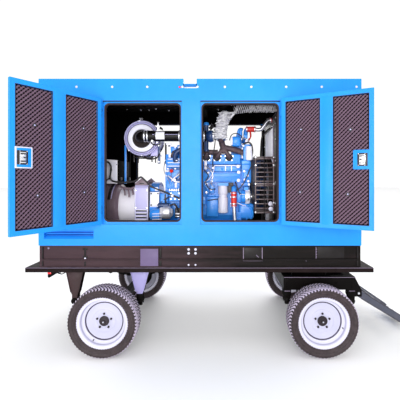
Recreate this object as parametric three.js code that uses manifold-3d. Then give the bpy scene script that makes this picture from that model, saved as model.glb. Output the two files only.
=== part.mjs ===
// Towable diesel generator: an enclosed generating set on a four-wheel drawbar trailer.
//
// Units are millimetres and +Z is up. +X points to the drawbar (the front), +Y to the left-hand
// side and -Y to the right-hand side, whose two doors stand open like those on the left.
// Heights are measured from the ground. The finished group is moved so that its origin is the
// middle of the ground under it.

import * as THREE from 'three';
import { mergeVertices } from 'three/addons/utils/BufferGeometryUtils.js';
import Module from 'manifold-3d';

const wasm = await Module();
wasm.setup();

// ---------------------------------------------------------------- driving dimensions

const GAP = 0.3; // left between two pieces that touch

const CANOPY = { rear: -1400, front: 1400, side: 580, wall: 40, bottom: 892, top: 2339 };
const OPENING = { bottom: 1101, top: 2124, corner: 35, rimX: 15, rimZ: 25, rimDepth: 12 };
const BAYS = [
  { name: 'rear', from: -828, to: -172, hingeX: -851, direction: 1, openDegrees: 124 },
  { name: 'front', from: 17, to: 680, hingeX: 697, direction: -1, openDegrees: 153 },
];
const SIDES = [
  { name: 'right', hand: -1 },
  { name: 'left', hand: 1 },
];
const NOTCH = { from: -143, to: -29, bottom: 2257, barBottom: 2274, bar: 22 };
const INLET = { from: -1352, to: -923, bottom: 949, top: 1029, depth: 35, slope: 30 };

const HINGE = { offset: 24, pin: 4.5, bore: 5.3, knuckle: 8, lug: 7, half: 15, lugHeight: 16 };
const HINGE_HEIGHTS = [-420, 0, 420]; // from the middle of the door
const DOOR = {
  middle: 1619, edge: 10, width: 718, height: 1084, outer: -4, inner: 22, skin: 6,
  panels: [[46, 330], [431, 694]], panelHalf: 506, box: [580, 698], boxHalf: 75,
};
const HANDLE = { from: 607, to: 671, half: 45, thickness: 6, clear: 6, cup: 12, grip: 8 };

const BASE = { end: 1395, side: 572, rail: 72, split: 766, bottom: 700 };
const ENGINE_MOUNTS = [-200, 340];
const CROSSMEMBERS = [-850, ...ENGINE_MOUNTS, 740]; // X of the beams that carry the set
const TRAILER = { rear: -1516, front: 1505, side: 580, rail: 80, top: 700, bottom: 660 };

const SHAFT_Z = 1187; // crankshaft and generator axis
const FAN_Z = 1415;
const BELT = { from: 477, to: 494, thickness: 8 };
const PULLEYS = {
  crank: { y: 0, z: SHAFT_Z, radius: 75 },
  fan: { y: 0, z: FAN_Z, radius: 60 },
  alternator: { y: -280, z: 1300, radius: 36 },
};

const WHEEL = { radius: 288, track: 672, sides: 16 };
const SPRING = { eyeZ: 390, inner: 458, outer: 502, eye: 16, pin: 8 };
const REAR_AXLE_X = -790;
const FRONT_AXLE_X = 1026;
const REAR_SPRING = { rear: -327, front: 250 }; // eyes, from the axle
const FRONT_SPRING = { rear: -256, front: 317 };
const STEERING = { rear: -289, front: 349, side: 511, rail: 66, bottom: 486, top: 599 };
const TURNTABLE = { inner: 200, outer: 258, split: 630 };
const DRAWBAR = { x: 1410, y: 458, z: 450, slopeDegrees: 33.5, tip: 788, eye: 42, tube: 30 };

// ---------------------------------------------------------------- shapes and solids

const degrees = THREE.MathUtils.degToRad;

/** A closed three.js geometry as a manifold solid. */
function solid(geometry) {
  geometry.deleteAttribute('normal');
  geometry.deleteAttribute('uv');
  const merged = mergeVertices(geometry, 1e-3);
  return new wasm.Manifold(new wasm.Mesh({
    numProp: 3,
    vertProperties: new Float32Array(merged.attributes.position.array),
    triVerts: new Uint32Array(merged.index.array),
  }));
}

function join(...solids) {
  return solids.reduce((sum, next) => sum.add(next));
}

function cut(body, ...tools) {
  return tools.reduce((rest, tool) => rest.subtract(tool), body);
}

/** A box between two values on each axis, given in either order. */
function box(xs, ys, zs) {
  const ranges = [xs, ys, zs];
  const size = ranges.map(([a, b]) => Math.abs(b - a));
  const middle = ranges.map(([a, b]) => (a + b) / 2);
  return solid(new THREE.BoxGeometry(...size).translate(...middle));
}

/** A round bar from one point to another. */
function rod(from, to, radius, sides = 12) {
  const start = new THREE.Vector3(...from);
  const end = new THREE.Vector3(...to);
  const along = end.clone().sub(start);
  const middle = start.clone().add(end).multiplyScalar(0.5);
  const turn = new THREE.Quaternion();
  turn.setFromUnitVectors(new THREE.Vector3(0, 1, 0), along.clone().normalize());
  const geometry = new THREE.CylinderGeometry(radius, radius, along.length(), sides);
  return solid(geometry.applyQuaternion(turn).translate(middle.x, middle.y, middle.z));
}

/** An outline extruded along one axis: it is (y, z) along x, (x, z) along y, (x, y) along z. */
function plate(axis, [from, to], outline) {
  const low = Math.min(from, to);
  const high = Math.max(from, to);
  const shape = new THREE.Shape(outline.map(([a, b]) => new THREE.Vector2(a, b)));
  const geometry = new THREE.ExtrudeGeometry(shape, { depth: high - low, bevelEnabled: false });
  const x = new THREE.Vector3(1, 0, 0);
  const y = new THREE.Vector3(0, 1, 0);
  const z = new THREE.Vector3(0, 0, 1);
  if (axis === 'x') {
    geometry.applyMatrix4(new THREE.Matrix4().makeBasis(y, z, x)).translate(low, 0, 0);
  } else if (axis === 'y') {
    geometry.applyMatrix4(new THREE.Matrix4().makeBasis(x, z, y.negate())).translate(0, high, 0);
  } else {
    geometry.translate(0, 0, low);
  }
  return solid(geometry);
}

/** A profile of (radius, height) points revolved about the y axis; it ends on the axis or closes. */
function lathe(profile, sides) {
  const points = profile.map(([radius, height]) => new THREE.Vector2(radius, height));
  return solid(new THREE.LatheGeometry(points, sides, Math.PI / sides));
}

/** A round pipe along a smooth curve through the points. */
function pipe(points, radius, steps, sides = 8) {
  const curve = new THREE.CatmullRomCurve3(points.map((point) => new THREE.Vector3(...point)));
  const circle = new THREE.Shape(circlePoints(0, 0, radius, sides));
  const options = { steps, extrudePath: curve, bevelEnabled: false };
  return solid(new THREE.ExtrudeGeometry(circle, options));
}

function circlePoints(a, b, radius, sides) {
  return Array.from({ length: sides }, (_, i) => {
    const angle = (2 * Math.PI * i) / sides;
    return new THREE.Vector2(a + radius * Math.cos(angle), b + radius * Math.sin(angle));
  });
}

function roundedRectangle([a0, a1], [b0, b1], radius, steps = 3) {
  const corners = [[a1 - radius, b1 - radius], [a0 + radius, b1 - radius],
    [a0 + radius, b0 + radius], [a1 - radius, b0 + radius]];
  return corners.flatMap(([a, b], corner) => Array.from({ length: steps + 1 }, (_, i) => {
    const angle = (corner + i / steps) * (Math.PI / 2);
    return [a + radius * Math.cos(angle), b + radius * Math.sin(angle)];
  }));
}

/** The taut outline round a set of points, counter-clockwise (monotone chain). */
function hull(points) {
  const sorted = [...points].sort((p, q) => p[0] - q[0] || p[1] - q[1]);
  const turn = (o, p, q) => (p[0] - o[0]) * (q[1] - o[1]) - (p[1] - o[1]) * (q[0] - o[0]);
  const chain = (list) => {
    const result = [];
    for (const point of list) {
      while (result.length > 1 && turn(result.at(-2), result.at(-1), point) <= 0) result.pop();
      result.push(point);
    }
    return result.slice(0, -1);
  };
  return [...chain(sorted), ...chain(sorted.reverse())];
}

function material(color, roughness, metalness) {
  return new THREE.MeshStandardMaterial({ color, roughness, metalness });
}

function piece(name, body, surface) {
  const { vertProperties, triVerts } = body.getMesh();
  const geometry = new THREE.BufferGeometry();
  geometry.setAttribute('position', new THREE.BufferAttribute(vertProperties, 3));
  geometry.setIndex(Array.from(triVerts));
  geometry.computeVertexNormals();
  const mesh = new THREE.Mesh(geometry, surface);
  mesh.name = name;
  return mesh;
}

const PAINT = {
  blue: material(0x2f9bf5, 0.35, 0.1),
  black: material(0x231d1e, 0.5, 0.3),
  engine: material(0x2f84dd, 0.4, 0.2),
  grey: material(0xb9b4dc, 0.4, 0.3),
  steel: material(0xc8c8d0, 0.3, 0.9),
  cast: material(0x5a4a4c, 0.6, 0.5),
  rubber: material(0x2a2528, 0.8, 0.0),
  white: material(0xf0f0f4, 0.4, 0.1),
  red: material(0xb52a1c, 0.5, 0.0),
  wrap: material(0xdcdbe6, 0.7, 0.4),
};

// ---------------------------------------------------------------- canopy

function hingeLugs(x, hand) {
  const wall = hand * CANOPY.side;
  const axis = hand * (CANOPY.side + HINGE.offset);
  const tip = axis + hand * 5;
  const reach = HINGE.half + 1 + HINGE.lugHeight;
  const hardware = HINGE_HEIGHTS.map((height) => {
    const z = DOOR.middle + height;
    const lugs = [-1, 1].map((end) => box(
      [x - HINGE.lug, x + HINGE.lug],
      [wall - hand, tip],
      [z + end * (HINGE.half + 1), z + end * reach],
    ));
    return join(...lugs, rod([x, axis, z - reach + 2], [x, axis, z + reach - 2], HINGE.pin, 8));
  });
  return join(...hardware);
}

function canopySide(hand) {
  const outer = hand * CANOPY.side;
  const inner = hand * (CANOPY.side - CANOPY.wall);
  const wall = box([CANOPY.rear, CANOPY.front], [outer, inner], [CANOPY.bottom, CANOPY.top]);
  const through = [outer + hand, inner - hand];
  const doorways = BAYS.flatMap((bay) => [
    plate('y', through, roundedRectangle([bay.from, bay.to],
      [OPENING.bottom, OPENING.top], OPENING.corner)),
    box([bay.from - OPENING.rimX, bay.to + OPENING.rimX],
      [outer + hand, outer - hand * OPENING.rimDepth],
      [OPENING.bottom - OPENING.rimZ, OPENING.top + OPENING.rimZ]),
  ]);
  const notch = box([NOTCH.from, NOTCH.to], through, [NOTCH.bottom, CANOPY.top + 1]);
  const back = outer - hand * INLET.depth;
  const inlet = plate('x', [INLET.from, INLET.to], [
    [outer + hand, INLET.bottom], [outer + hand, INLET.top],
    [back, INLET.top], [back, INLET.bottom + INLET.slope],
  ]);
  const bar = box([NOTCH.from - 5, NOTCH.to + 5],
    [outer - hand * 4, outer - hand * (4 + NOTCH.bar)],
    [NOTCH.barBottom, NOTCH.barBottom + NOTCH.bar]);
  const hinges = BAYS.map((bay) => hingeLugs(bay.hingeX, hand));
  return join(cut(wall, ...doorways, notch, inlet), bar, ...hinges);
}

const INSIDE = CANOPY.side - CANOPY.wall - GAP; // half the width between the side walls
const WALL_TOP = CANOPY.top - CANOPY.wall - GAP;

/** Slanted blades that close an opening in an end wall. */
function louvres(xs, half, [low, high], count) {
  const pitch = (high - low) / count;
  const blades = Array.from({ length: count }, (_, i) => {
    const z = low + pitch * (i + 0.5);
    const [outside, within] = xs;
    return plate('y', [-half - 2, half + 2], [
      [outside, z - 16], [within, z + 8], [within, z + 14], [outside, z - 10],
    ]);
  });
  return join(...blades);
}

function canopyFront() {
  const xs = [CANOPY.front - CANOPY.wall, CANOPY.front];
  const wall = box(xs, [-INSIDE, INSIDE], [CANOPY.bottom, WALL_TOP]);
  const half = 400;
  const grille = [1080, 2000];
  const opening = box([xs[0] - 1, xs[1] + 1], [-half, half], grille);
  const outlet = rod([xs[0] - 1, -100, 2170], [xs[1] + 1, -100, 2170], 46, 16);
  return join(cut(wall, opening, outlet), louvres([xs[1] - 4, xs[0] + 4], half, grille, 12));
}

const PANEL = { half: 260, bottom: 1500, top: 1960 }; // control panel window in the rear wall

function canopyRear() {
  const xs = [CANOPY.rear, CANOPY.rear + CANOPY.wall];
  const wall = box(xs, [-INSIDE, INSIDE], [CANOPY.bottom, WALL_TOP]);
  const window = box([xs[0] - 1, xs[1] + 1], [-PANEL.half, PANEL.half], [PANEL.bottom, PANEL.top]);
  const half = 360;
  const intake = [1000, 1360];
  const opening = box([xs[0] - 1, xs[1] + 1], [-half, half], intake);
  return join(cut(wall, window, opening), louvres([xs[0] + 4, xs[1] - 4], half, intake, 5));
}

function canopyRoof() {
  const under = CANOPY.top - CANOPY.wall;
  const floor = NOTCH.bottom - CANOPY.wall;
  const side = 30; // thickness of the trough's sides
  return plate('y', [-INSIDE, INSIDE], [
    [CANOPY.rear, CANOPY.top], [CANOPY.rear, under], [NOTCH.from - side, under],
    [NOTCH.from - side, floor], [NOTCH.to + side, floor], [NOTCH.to + side, under],
    [CANOPY.front, under], [CANOPY.front, CANOPY.top], [NOTCH.to, CANOPY.top],
    [NOTCH.to, NOTCH.bottom], [NOTCH.from, NOTCH.bottom], [NOTCH.from, CANOPY.top],
  ]);
}

// ---------------------------------------------------------------- doors
// A door is drawn closed, with its hinge axis at the origin: x runs from the hinge to the free
// edge, and hand * y points into the canopy.

function doorLeaf(hand) {
  const ys = (outside, within) => [hand * outside, hand * within];
  const half = DOOR.height / 2;
  const far = DOOR.edge + DOOR.width;
  const slab = box([DOOR.edge, far], ys(DOOR.outer, DOOR.inner), [-half, half]);
  const floor = DOOR.outer + DOOR.skin;
  const pockets = DOOR.panels.map((xs) => box(
    xs, ys(floor, DOOR.inner + 1), [-DOOR.panelHalf, DOOR.panelHalf]));
  const latchBox = box(DOOR.box, ys(floor - 1, DOOR.inner), [-DOOR.boxHalf, DOOR.boxHalf]);
  const reach = HANDLE.half + HANDLE.clear;
  const cup = box([HANDLE.from - HANDLE.clear, HANDLE.to + HANDLE.clear],
    ys(DOOR.outer - 1, HANDLE.cup), [-reach, reach]);
  const knuckles = HINGE_HEIGHTS.map((z) => {
    const tube = rod([0, 0, z - HINGE.half], [0, 0, z + HINGE.half], HINGE.knuckle, 8);
    const leaf = box([0, DOOR.edge + 12], ys(-8, -3), [z - HINGE.half, z + HINGE.half]);
    const bore = rod([0, 0, z - HINGE.half - 1], [0, 0, z + HINGE.half + 1], HINGE.bore, 8);
    return cut(join(tube, leaf), bore);
  });
  return join(cut(join(cut(slab, ...pockets), latchBox), cup), ...knuckles);
}

function doorHandle(hand) {
  const half = HANDLE.thickness / 2;
  const paddle = box([HANDLE.from, HANDLE.to], [-half, half], [-HANDLE.half, HANDLE.half]);
  const grip = box([HANDLE.from, HANDLE.to], [0, hand * HANDLE.grip],
    [-HANDLE.half, -HANDLE.half + HANDLE.grip]);
  return join(paddle, grip);
}

function makeDoor(side, bay) {
  const forward = bay.direction > 0;
  const hand = -side.hand * bay.direction;
  const open = degrees(bay.openDegrees);
  const group = new THREE.Group();
  group.position.set(bay.hingeX, side.hand * (CANOPY.side + HINGE.offset), DOOR.middle);
  group.rotation.z = (forward ? 0 : Math.PI) - hand * open;
  const name = `${side.name}_${bay.name}`;
  group.add(
    piece(`door_${name}`, doorLeaf(hand), PAINT.blue),
    piece(`door_handle_${name}`, doorHandle(hand), PAINT.black),
  );
  return group;
}

// ---------------------------------------------------------------- base and trailer

function baseFrame() {
  const { end, side, rail, split, bottom } = BASE;
  const top = CANOPY.bottom - GAP;
  const low = bottom + GAP;
  const ring = cut(
    box([-end, end], [-side, side], [low, top]),
    box([-end + rail, end - rail], [-side + rail, side - rail], [low - 1, top + 1]),
  );
  const channels = SIDES.flatMap(({ hand }) => [
    box([-end + 20, end - 20], [hand * (side - 10), hand * (side + 1)], [split + 8, top - 12]),
    box([-end + 20, end - 20], [hand * (side - 8), hand * (side + 1)], [low + 10, split - 8]),
  ]);
  const beams = CROSSMEMBERS.map((x) => box(
    [x - 40, x + 40], [-side + rail - 1, side - rail + 1], [top - 70, top]));
  const plates = SIDES.map(({ hand }) => box(
    [-521, -360], [hand * (side - 12), hand * (side + 4)], [711, 867]));
  return join(cut(ring, ...channels), ...beams, ...plates);
}

const FILLER = { x: -600, y: 430, radius: 30, top: 960 };

function fuelTank() {
  const tank = box([-720, 520], [-480, 480], [BASE.bottom + 4, 808]);
  const neck = rod([FILLER.x, FILLER.y, 800], [FILLER.x, FILLER.y, FILLER.top], FILLER.radius);
  return join(tank, neck);
}

function fuelCap() {
  const cap = rod([0, 0, GAP], [0, 0, 26], 42);
  return join(cap, box([-34, 34], [-6, 6], [20, 38]));
}

/** Twin plates that hang a spring eye on its pin, drawn below z = top at x = 0. */
function hanger(x, hand, top, topHalf, knee) {
  const foot = 24;
  const outline = [
    [x - topHalf, top], [x - 35, knee], [x - foot, knee - 26], [x - foot, SPRING.eyeZ - 20],
    [x + foot, SPRING.eyeZ - 20], [x + foot, knee - 26], [x + 35, knee], [x + topHalf, top],
  ];
  const plates = [[SPRING.inner - 10, SPRING.inner - 2], [SPRING.outer + 2, SPRING.outer + 9]];
  const pin = rod([x, hand * (SPRING.inner - 5), SPRING.eyeZ],
    [x, hand * (SPRING.outer + 5), SPRING.eyeZ], SPRING.pin, 8);
  return join(...plates.map(([a, b]) => plate('y', [hand * a, hand * b], outline)), pin);
}

function trailerFrame() {
  const { rear, front, side, rail, top, bottom } = TRAILER;
  const level = top - GAP;
  const ring = cut(
    box([rear, front], [-side, side], [bottom, level]),
    box([rear + rail, front - rail], [-side + rail, side - rail], [bottom - 1, top]),
  );
  const eyes = [REAR_AXLE_X + REAR_SPRING.rear, REAR_AXLE_X + REAR_SPRING.front];
  const table = [FRONT_AXLE_X - 246, FRONT_AXLE_X + 246];
  const beams = [...eyes, 100, ...table].map((x) => box(
    [x - 40, x + 40], [-side + rail - 1, side - rail + 1], [bottom, level]));
  const hangers = SIDES.flatMap(({ hand }) => [
    hanger(eyes[0], hand, bottom + 5, 78, 466),
    hanger(eyes[1], hand, bottom + 5, 85, 475),
  ]);
  const { inner, outer, split } = TURNTABLE;
  const disc = [[inner, split + 1], [outer, split + 1], [outer, bottom + 5],
    [inner, bottom + 5], [inner, split + 1]];
  return join(ring, ...beams, ...hangers, ringAt(disc));
}

/** A ring about a vertical axis through the turntable, from an (r, z) outline. */
function ringAt(outline) {
  const points = outline.map(([radius, z]) => new THREE.Vector2(radius, z));
  const geometry = new THREE.LatheGeometry(points, 20);
  return solid(geometry.rotateX(Math.PI / 2).translate(FRONT_AXLE_X, 0, 0));
}

function tailLightBar() {
  const top = TRAILER.bottom - GAP;
  const bar = box([-1290, -1262], [-560, 560], [640, top]);
  const lamps = SIDES.map(({ hand }) => plate('y', [hand * 430, hand * 560], [
    [-1331, top], [-1331, 612], [-1318, 606], [-1262, 640], [-1262, top],
  ]));
  return join(bar, ...lamps);
}

// ---------------------------------------------------------------- engine

function engineBlock() {
  const lower = plate('x', [-500, 440], [
    [-215, 1120], [-180, 1060], [180, 1060], [215, 1120], [215, 1330], [-215, 1330],
  ]);
  const upper = box([-365, 440], [-200, 200], [1320, 1540]);
  const head = box([-365, 430], [-150, 150], [1530, 1640]);
  const flywheel = rod([-521, 0, SHAFT_Z], [-440, 0, SHAFT_Z], 250, 20);
  const timing = plate('x', [430, 470], [
    [-150, 1080], [150, 1080], [170, 1187], [120, 1470], [-120, 1470], [-170, 1187],
  ]);
  const manifold = box([-100, 370], [-245, -150], [1436, 1532]);
  const tower = box([285, 390], [-130, 50], [1630, 1890]);
  const filterHead = box([150, 252], [-305, -195], [1405, 1432]);
  const alternatorArm = box([400, 440], [-320, -195], [1362.3, 1392]);
  const feet = ENGINE_MOUNTS.flatMap((x) => SIDES.map(({ hand }) => box(
    [x - 35, x + 35], [hand * 200, hand * 300], [CANOPY.bottom, 1090])));
  const webs = ENGINE_MOUNTS.flatMap((x) => SIDES.map(({ hand }) => box(
    [x - 35, x + 35], [hand * 170, hand * 260], [1062, 1150])));
  const bore = rod([-530, 0, SHAFT_Z], [480, 0, SHAFT_Z], 29);
  const body = join(lower, upper, head, flywheel, timing, manifold, tower, filterHead,
    alternatorArm, ...feet, ...webs);
  return cut(body, bore);
}

function valveCover() {
  return plate('x', [-340, 270], [
    [-110, 1640 + GAP], [110, 1640 + GAP], [110, 1690], [90, 1710], [-90, 1710], [-110, 1690],
  ]);
}

function oilSump() {
  return plate('y', [-150, 150], [
    [-430, 1060 - GAP], [-430, 1010], [-380, 1000], [60, 1000], [120, 905],
    [400, 905], [410, 1060 - GAP],
  ]);
}

function crankshaft() {
  const rotor = rod([-990, 0, SHAFT_Z], [-545, 0, SHAFT_Z], 140, 16);
  const shaft = rod([-550, 0, SHAFT_Z], [480, 0, SHAFT_Z], 25);
  const { radius } = PULLEYS.crank;
  return join(rotor, shaft, rod([474, 0, SHAFT_Z], [497, 0, SHAFT_Z], radius, 16));
}

function coolingFan() {
  const { y, z, radius } = PULLEYS.fan;
  const parts = [
    rod([474, y, z], [497, y, z], radius, 16),
    rod([490, y, z], [645, y, z], 20),
    rod([585, y, z], [640, y, z], 60, 12),
  ];
  const blade = new THREE.BoxGeometry(8, 90, 200).translate(0, 0, 150);
  const blades = 6;
  for (let i = 0; i < blades; i += 1) {
    const geometry = blade.clone().rotateZ(degrees(35)).rotateX((i * 2 * Math.PI) / blades);
    parts.push(solid(geometry.translate(612, y, z)));
  }
  return join(...parts);
}

function alternatorPulley() {
  const { y, z, radius } = PULLEYS.alternator;
  return rod([474, y, z], [497, y, z], radius, 16);
}

function chargeAlternator() {
  const { y, z } = PULLEYS.alternator;
  return join(
    rod([372, y, z], [462, y, z], 62, 16),
    rod([456, y, z], [473, y, z], 22),
  );
}

/** The belt is the taut outline round its pulleys, with a small clearance inside it. */
function driveBelt() {
  const sides = 16;
  const outline = (offset) => hull(Object.values(PULLEYS).flatMap(({ y, z, radius }) => {
    const reach = (radius + offset) / Math.cos(Math.PI / sides);
    return circlePoints(y, z, reach, sides).map((point) => [point.x, point.y]);
  }));
  const { from, to, thickness } = BELT;
  return cut(
    plate('x', [from, to], outline(1 + thickness)),
    plate('x', [from - 1, to + 1], outline(1)),
  );
}

function fanGuard() {
  const shell = cut(
    box([502, 686], [-330, 330], [1140, 1690]),
    box([501, 687], [-314, 314], [1156, 1674]),
  );
  const slots = Array.from({ length: 8 }, (_, i) => {
    const z = 1172 + i * 62;
    return box([522, 666], [-331, 331], [z, z + 44]);
  });
  const feet = SIDES.map(({ hand }) => box([640, 680], [hand * 314, hand * 330],
    [CANOPY.bottom, 1145]));
  return join(cut(shell, ...slots), ...feet);
}

function radiator() {
  const core = box([690, 790], [-400, 400], [960, 2100]);
  const feet = SIDES.map(({ hand }) => box([700, 780], [hand * 320, hand * 400],
    [CANOPY.bottom, 965]));
  return join(core, ...feet);
}

function exhaustManifold() {
  const log = rod([-350, -192, 1745], [395, -192, 1745], 30);
  const ports = Array.from({ length: 6 }, (_, i) => {
    const x = -330 + i * 136;
    const flange = box([x - 32, x + 32], [-150 - GAP, -206], [1556, 1620]);
    return join(rod([x, -190, 1745], [x, -184, 1610], 22, 8), flange);
  });
  const riser = rod([185, -195, 1745], [185, -265, 1860], 32);
  const turbine = rod([150, -275, 1880], [222, -275, 1880], 66, 14);
  const middle = rod([105, -275, 1880], [155, -275, 1880], 34);
  const compressor = rod([42, -275, 1880], [110, -275, 1880], 72, 14);
  return join(log, ...ports, riser, turbine, middle, compressor);
}

function exhaustPipe() {
  return pipe([
    [200, -262, 1952], [205, -240, 2010], [235, -200, 2090], [300, -150, 2160],
    [400, -110, 2186], [600, -100, 2188], [829, -100, 2188],
  ], 44, 16, 10);
}

function muffler() {
  const can = rod([830, -100, 2180], [1290, -100, 2180], 100, 16);
  return join(can, rod([1280, -100, 2170], [1396, -100, 2170], 38, 12));
}

function airFilter() {
  const can = rod([-602, -190, 1873], [-602, 130, 1873], 175, 24);
  return join(can, rod([-602, -196, 1873], [-602, -180, 1873], 90, 16));
}

function intakePipe() {
  const run = pipe([
    [-602, -180, 1875], [-598, -232, 1876], [-560, -272, 1880], [-500, -275, 1880],
    [-240, -275, 1880], [42 - GAP, -275, 1880],
  ], 52, 14, 10);
  return cut(run, box([-700, -500], [-196 - GAP, -100], [1700, 2000]));
}

function oilFilter() {
  return join(
    rod([201, -262, 1145], [201, -262, 1290], 46, 16),
    rod([201, -262, 1285], [201, -262, 1325], 38, 16),
    rod([201, -262, 1320], [201, -262, 1405 - GAP], 46, 16),
  );
}

function starterMotor() {
  return join(
    rod([-440 + GAP, -268, 1140], [-330, -268, 1140], 50, 16),
    rod([-340, -268, 1140], [-268, -268, 1140], 44, 12),
    rod([-420, -268, 1205], [-310, -268, 1205], 24),
  );
}

function coolantHoseUpper() {
  const run = pipe([
    [380, -60, 1850], [425, -75, 1862], [440, -110, 1920], [470, -120, 1965],
    [540, -120, 1968], [590, -120, 1985], [640, -120, 2040], [710, -120, 2060],
  ], 24, 16);
  return cut(
    run,
    box([300, 390 + GAP], [-200, 100], [1700, 1950]),
    box([690 - GAP, 800], [-200, 0], [1900, 2200]),
  );
}

function coolantHoseLower() {
  const run = pipe([
    [303, -180, 1385], [303, -240, 1384], [303, -275, 1345], [306, -290, 1200],
    [314, -345, 1060], [350, -350, 1005], [430, -315, 1000], [520, -262, 1000],
    [710, -262, 1000],
  ], 22, 20);
  return cut(
    run,
    box([200, 400], [-200 - GAP, -100], [1300, 1500]),
    box([690 - GAP, 800], [-400, -200], [900, 1100]),
  );
}

function battery() {
  return join(
    box([830, 1090], [-470, -290], [CANOPY.bottom + 60, 1130]),
    ...[870, 1050].map((x) => rod([x, -420, 1120], [x, -420, 1145], 9, 8)),
    box([820, 1100], [-480, -280], [CANOPY.bottom, CANOPY.bottom + 62]),
    box([820, 1100], [-503, -280], [CANOPY.bottom, CANOPY.bottom + 12]),
  );
}

// ---------------------------------------------------------------- generator and controls

function generatorHousing() {
  const barrel = rod([-1010, 0, SHAFT_Z], [-650, 0, SHAFT_Z], 235, 24);
  const adapter = plate('x', [-656, -521 - GAP], [
    [-250, 950], [250, 950], [250, 1380], [220, 1411], [-220, 1411], [-250, 1380],
  ]);
  const bore = rod([-1000, 0, SHAFT_Z], [-500, 0, SHAFT_Z], 150, 16);
  const slots = Array.from({ length: 4 }, (_, i) => box(
    [-640, -538], [-251, 251], [1080 + i * 32, 1090 + i * 32]));
  const feet = SIDES.map(({ hand }) => box([-890, -810], [hand * 130, hand * 235],
    [CANOPY.bottom, 1060]));
  return cut(join(barrel, adapter, ...feet), bore, ...slots);
}

function terminalBox() {
  return cut(
    box([-1000, -828], [-190, 190], [1422 + GAP, 1666]),
    plate('y', [-191, 191], [[-1001, 1667], [-850, 1667], [-1001, 1676]]),
  );
}

const STOP = { y: -170, z: 1600 };
const KEY = { y: -60, z: 1600 };

function controlCabinet() {
  const cabinet = box([-1388, -1230], [-PANEL.half + 1, PANEL.half - 1],
    [PANEL.bottom + 1, PANEL.top - 1]);
  const well = rod([-1389, STOP.y, STOP.z], [-1368, STOP.y, STOP.z], 11.5);
  return cut(cabinet, well);
}

function stopButton() {
  return join(
    rod([-1400, STOP.y, STOP.z], [-1374, STOP.y, STOP.z], 10),
    rod([-1406, STOP.y, STOP.z], [-1394, STOP.y, STOP.z], 20, 16),
  );
}

function keySwitch() {
  return join(
    rod([-1398, KEY.y, KEY.z], [-1388 - GAP, KEY.y, KEY.z], 13),
    box([-1412, -1396], [KEY.y - 3, KEY.y + 3], [KEY.z - 13, KEY.z + 13]),
  );
}

function wiringHarness() {
  return pipe([
    [-931, -206, 1640], [-900, -214, 1610], [-893, -214, 1556], [-902, -210, 1479],
    [-859, -214, 1444], [-743, -222, 1437], [-652, -226, 1450], [-594, -236, 1484],
    [-541, -240, 1446], [-483, -248, 1394], [-358, -244, 1344], [-213, -240, 1280],
    [-190, -226, 1268],
  ], 9, 30, 8);
}

// ---------------------------------------------------------------- running gear

function tyre() {
  const tread = WHEEL.radius / Math.cos(Math.PI / WHEEL.sides);
  const half = [[192, 62], [212, 63], [234, 86], [262, 95], [283, 84], [tread, 64]];
  const other = [...half].reverse().map(([radius, y]) => [radius, -y]);
  const profile = [...other.reverse(), ...[...half].reverse()];
  return lathe([...profile, profile[0]], WHEEL.sides);
}

/** The steel wheel: its dished disc faces +y. */
function rim() {
  return lathe([
    [0, 30], [21.5, 30], [21.5, -30], [60, -30], [60, 4], [156, 4], [184, 22], [184, -70],
    [208, -70], [208, -64], [191.5, -63], [191.5, 63], [208, 64], [208, 70], [184, 70],
    [184, 36], [156, 18], [41, 18], [41, 48], [0, 48],
  ], WHEEL.sides);
}

/** A wheel's group stands at its centre, with +y turned to the outside of the trailer. */
function makeWheel(axleX, end, side) {
  const group = new THREE.Group();
  group.position.set(axleX, side.hand * WHEEL.track, WHEEL.radius);
  group.rotation.z = side.hand > 0 ? 0 : Math.PI;
  const name = `${side.name}_${end}`;
  group.add(
    piece(`rim_${name}`, rim(), PAINT.white),
    piece(`tyre_${name}`, tyre(), PAINT.rubber),
  );
  return group;
}

/** A leaf spring over an axle at x = 0: a tapered, bowed pack with an eye at each end. */
function leafSpring(reach) {
  const seat = WHEEL.radius + 30 + GAP;
  const steps = 4;
  const sweep = (end) => Array.from({ length: steps + 1 }, (_, i) => {
    const t = i / steps;
    const bow = t * t * (SPRING.eyeZ - SPRING.eye + 5 - seat);
    return { x: end * t, under: seat + bow, over: seat + bow + 34 - 24 * t };
  });
  const rear = sweep(reach.rear).reverse();
  const front = sweep(reach.front).slice(1);
  const line = [...rear, ...front];
  const outline = [
    ...line.map(({ x, under }) => [x, under]),
    ...[...line].reverse().map(({ x, over }) => [x, over]),
  ];
  const ys = [SPRING.inner, SPRING.outer];
  const eye = (x, radius, extra) => rod([x, ys[0] - extra, SPRING.eyeZ],
    [x, ys[1] + extra, SPRING.eyeZ], radius, 8);
  const ends = [reach.rear, reach.front];
  return cut(
    join(plate('y', ys, outline), ...ends.map((x) => eye(x, SPRING.eye, 0))),
    ...ends.map((x) => eye(x, SPRING.pin + 1.5, 1)),
  );
}

function makeSpring(axleX, reach, end, side) {
  const mesh = piece(`leaf_spring_${side.name}_${end}`, leafSpring(reach), PAINT.black);
  mesh.position.set(axleX, side.hand > 0 ? 0 : -(SPRING.inner + SPRING.outer), 0);
  return mesh;
}

function axle(x) {
  const z = WHEEL.radius;
  const beam = box([x - 30, x + 30], [-575, 575], [z - 30, z + 30]);
  const ends = SIDES.flatMap(({ hand }) => [
    rod([x, hand * 570, z], [x, hand * (WHEEL.track + 25), z], 20),
    rod([x, hand * 590, z], [x, hand * 634, z], 120, 16),
    rod([x, hand * 570, z], [x, hand * 592, z], 45, 12),
  ]);
  return join(beam, ...ends);
}

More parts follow.
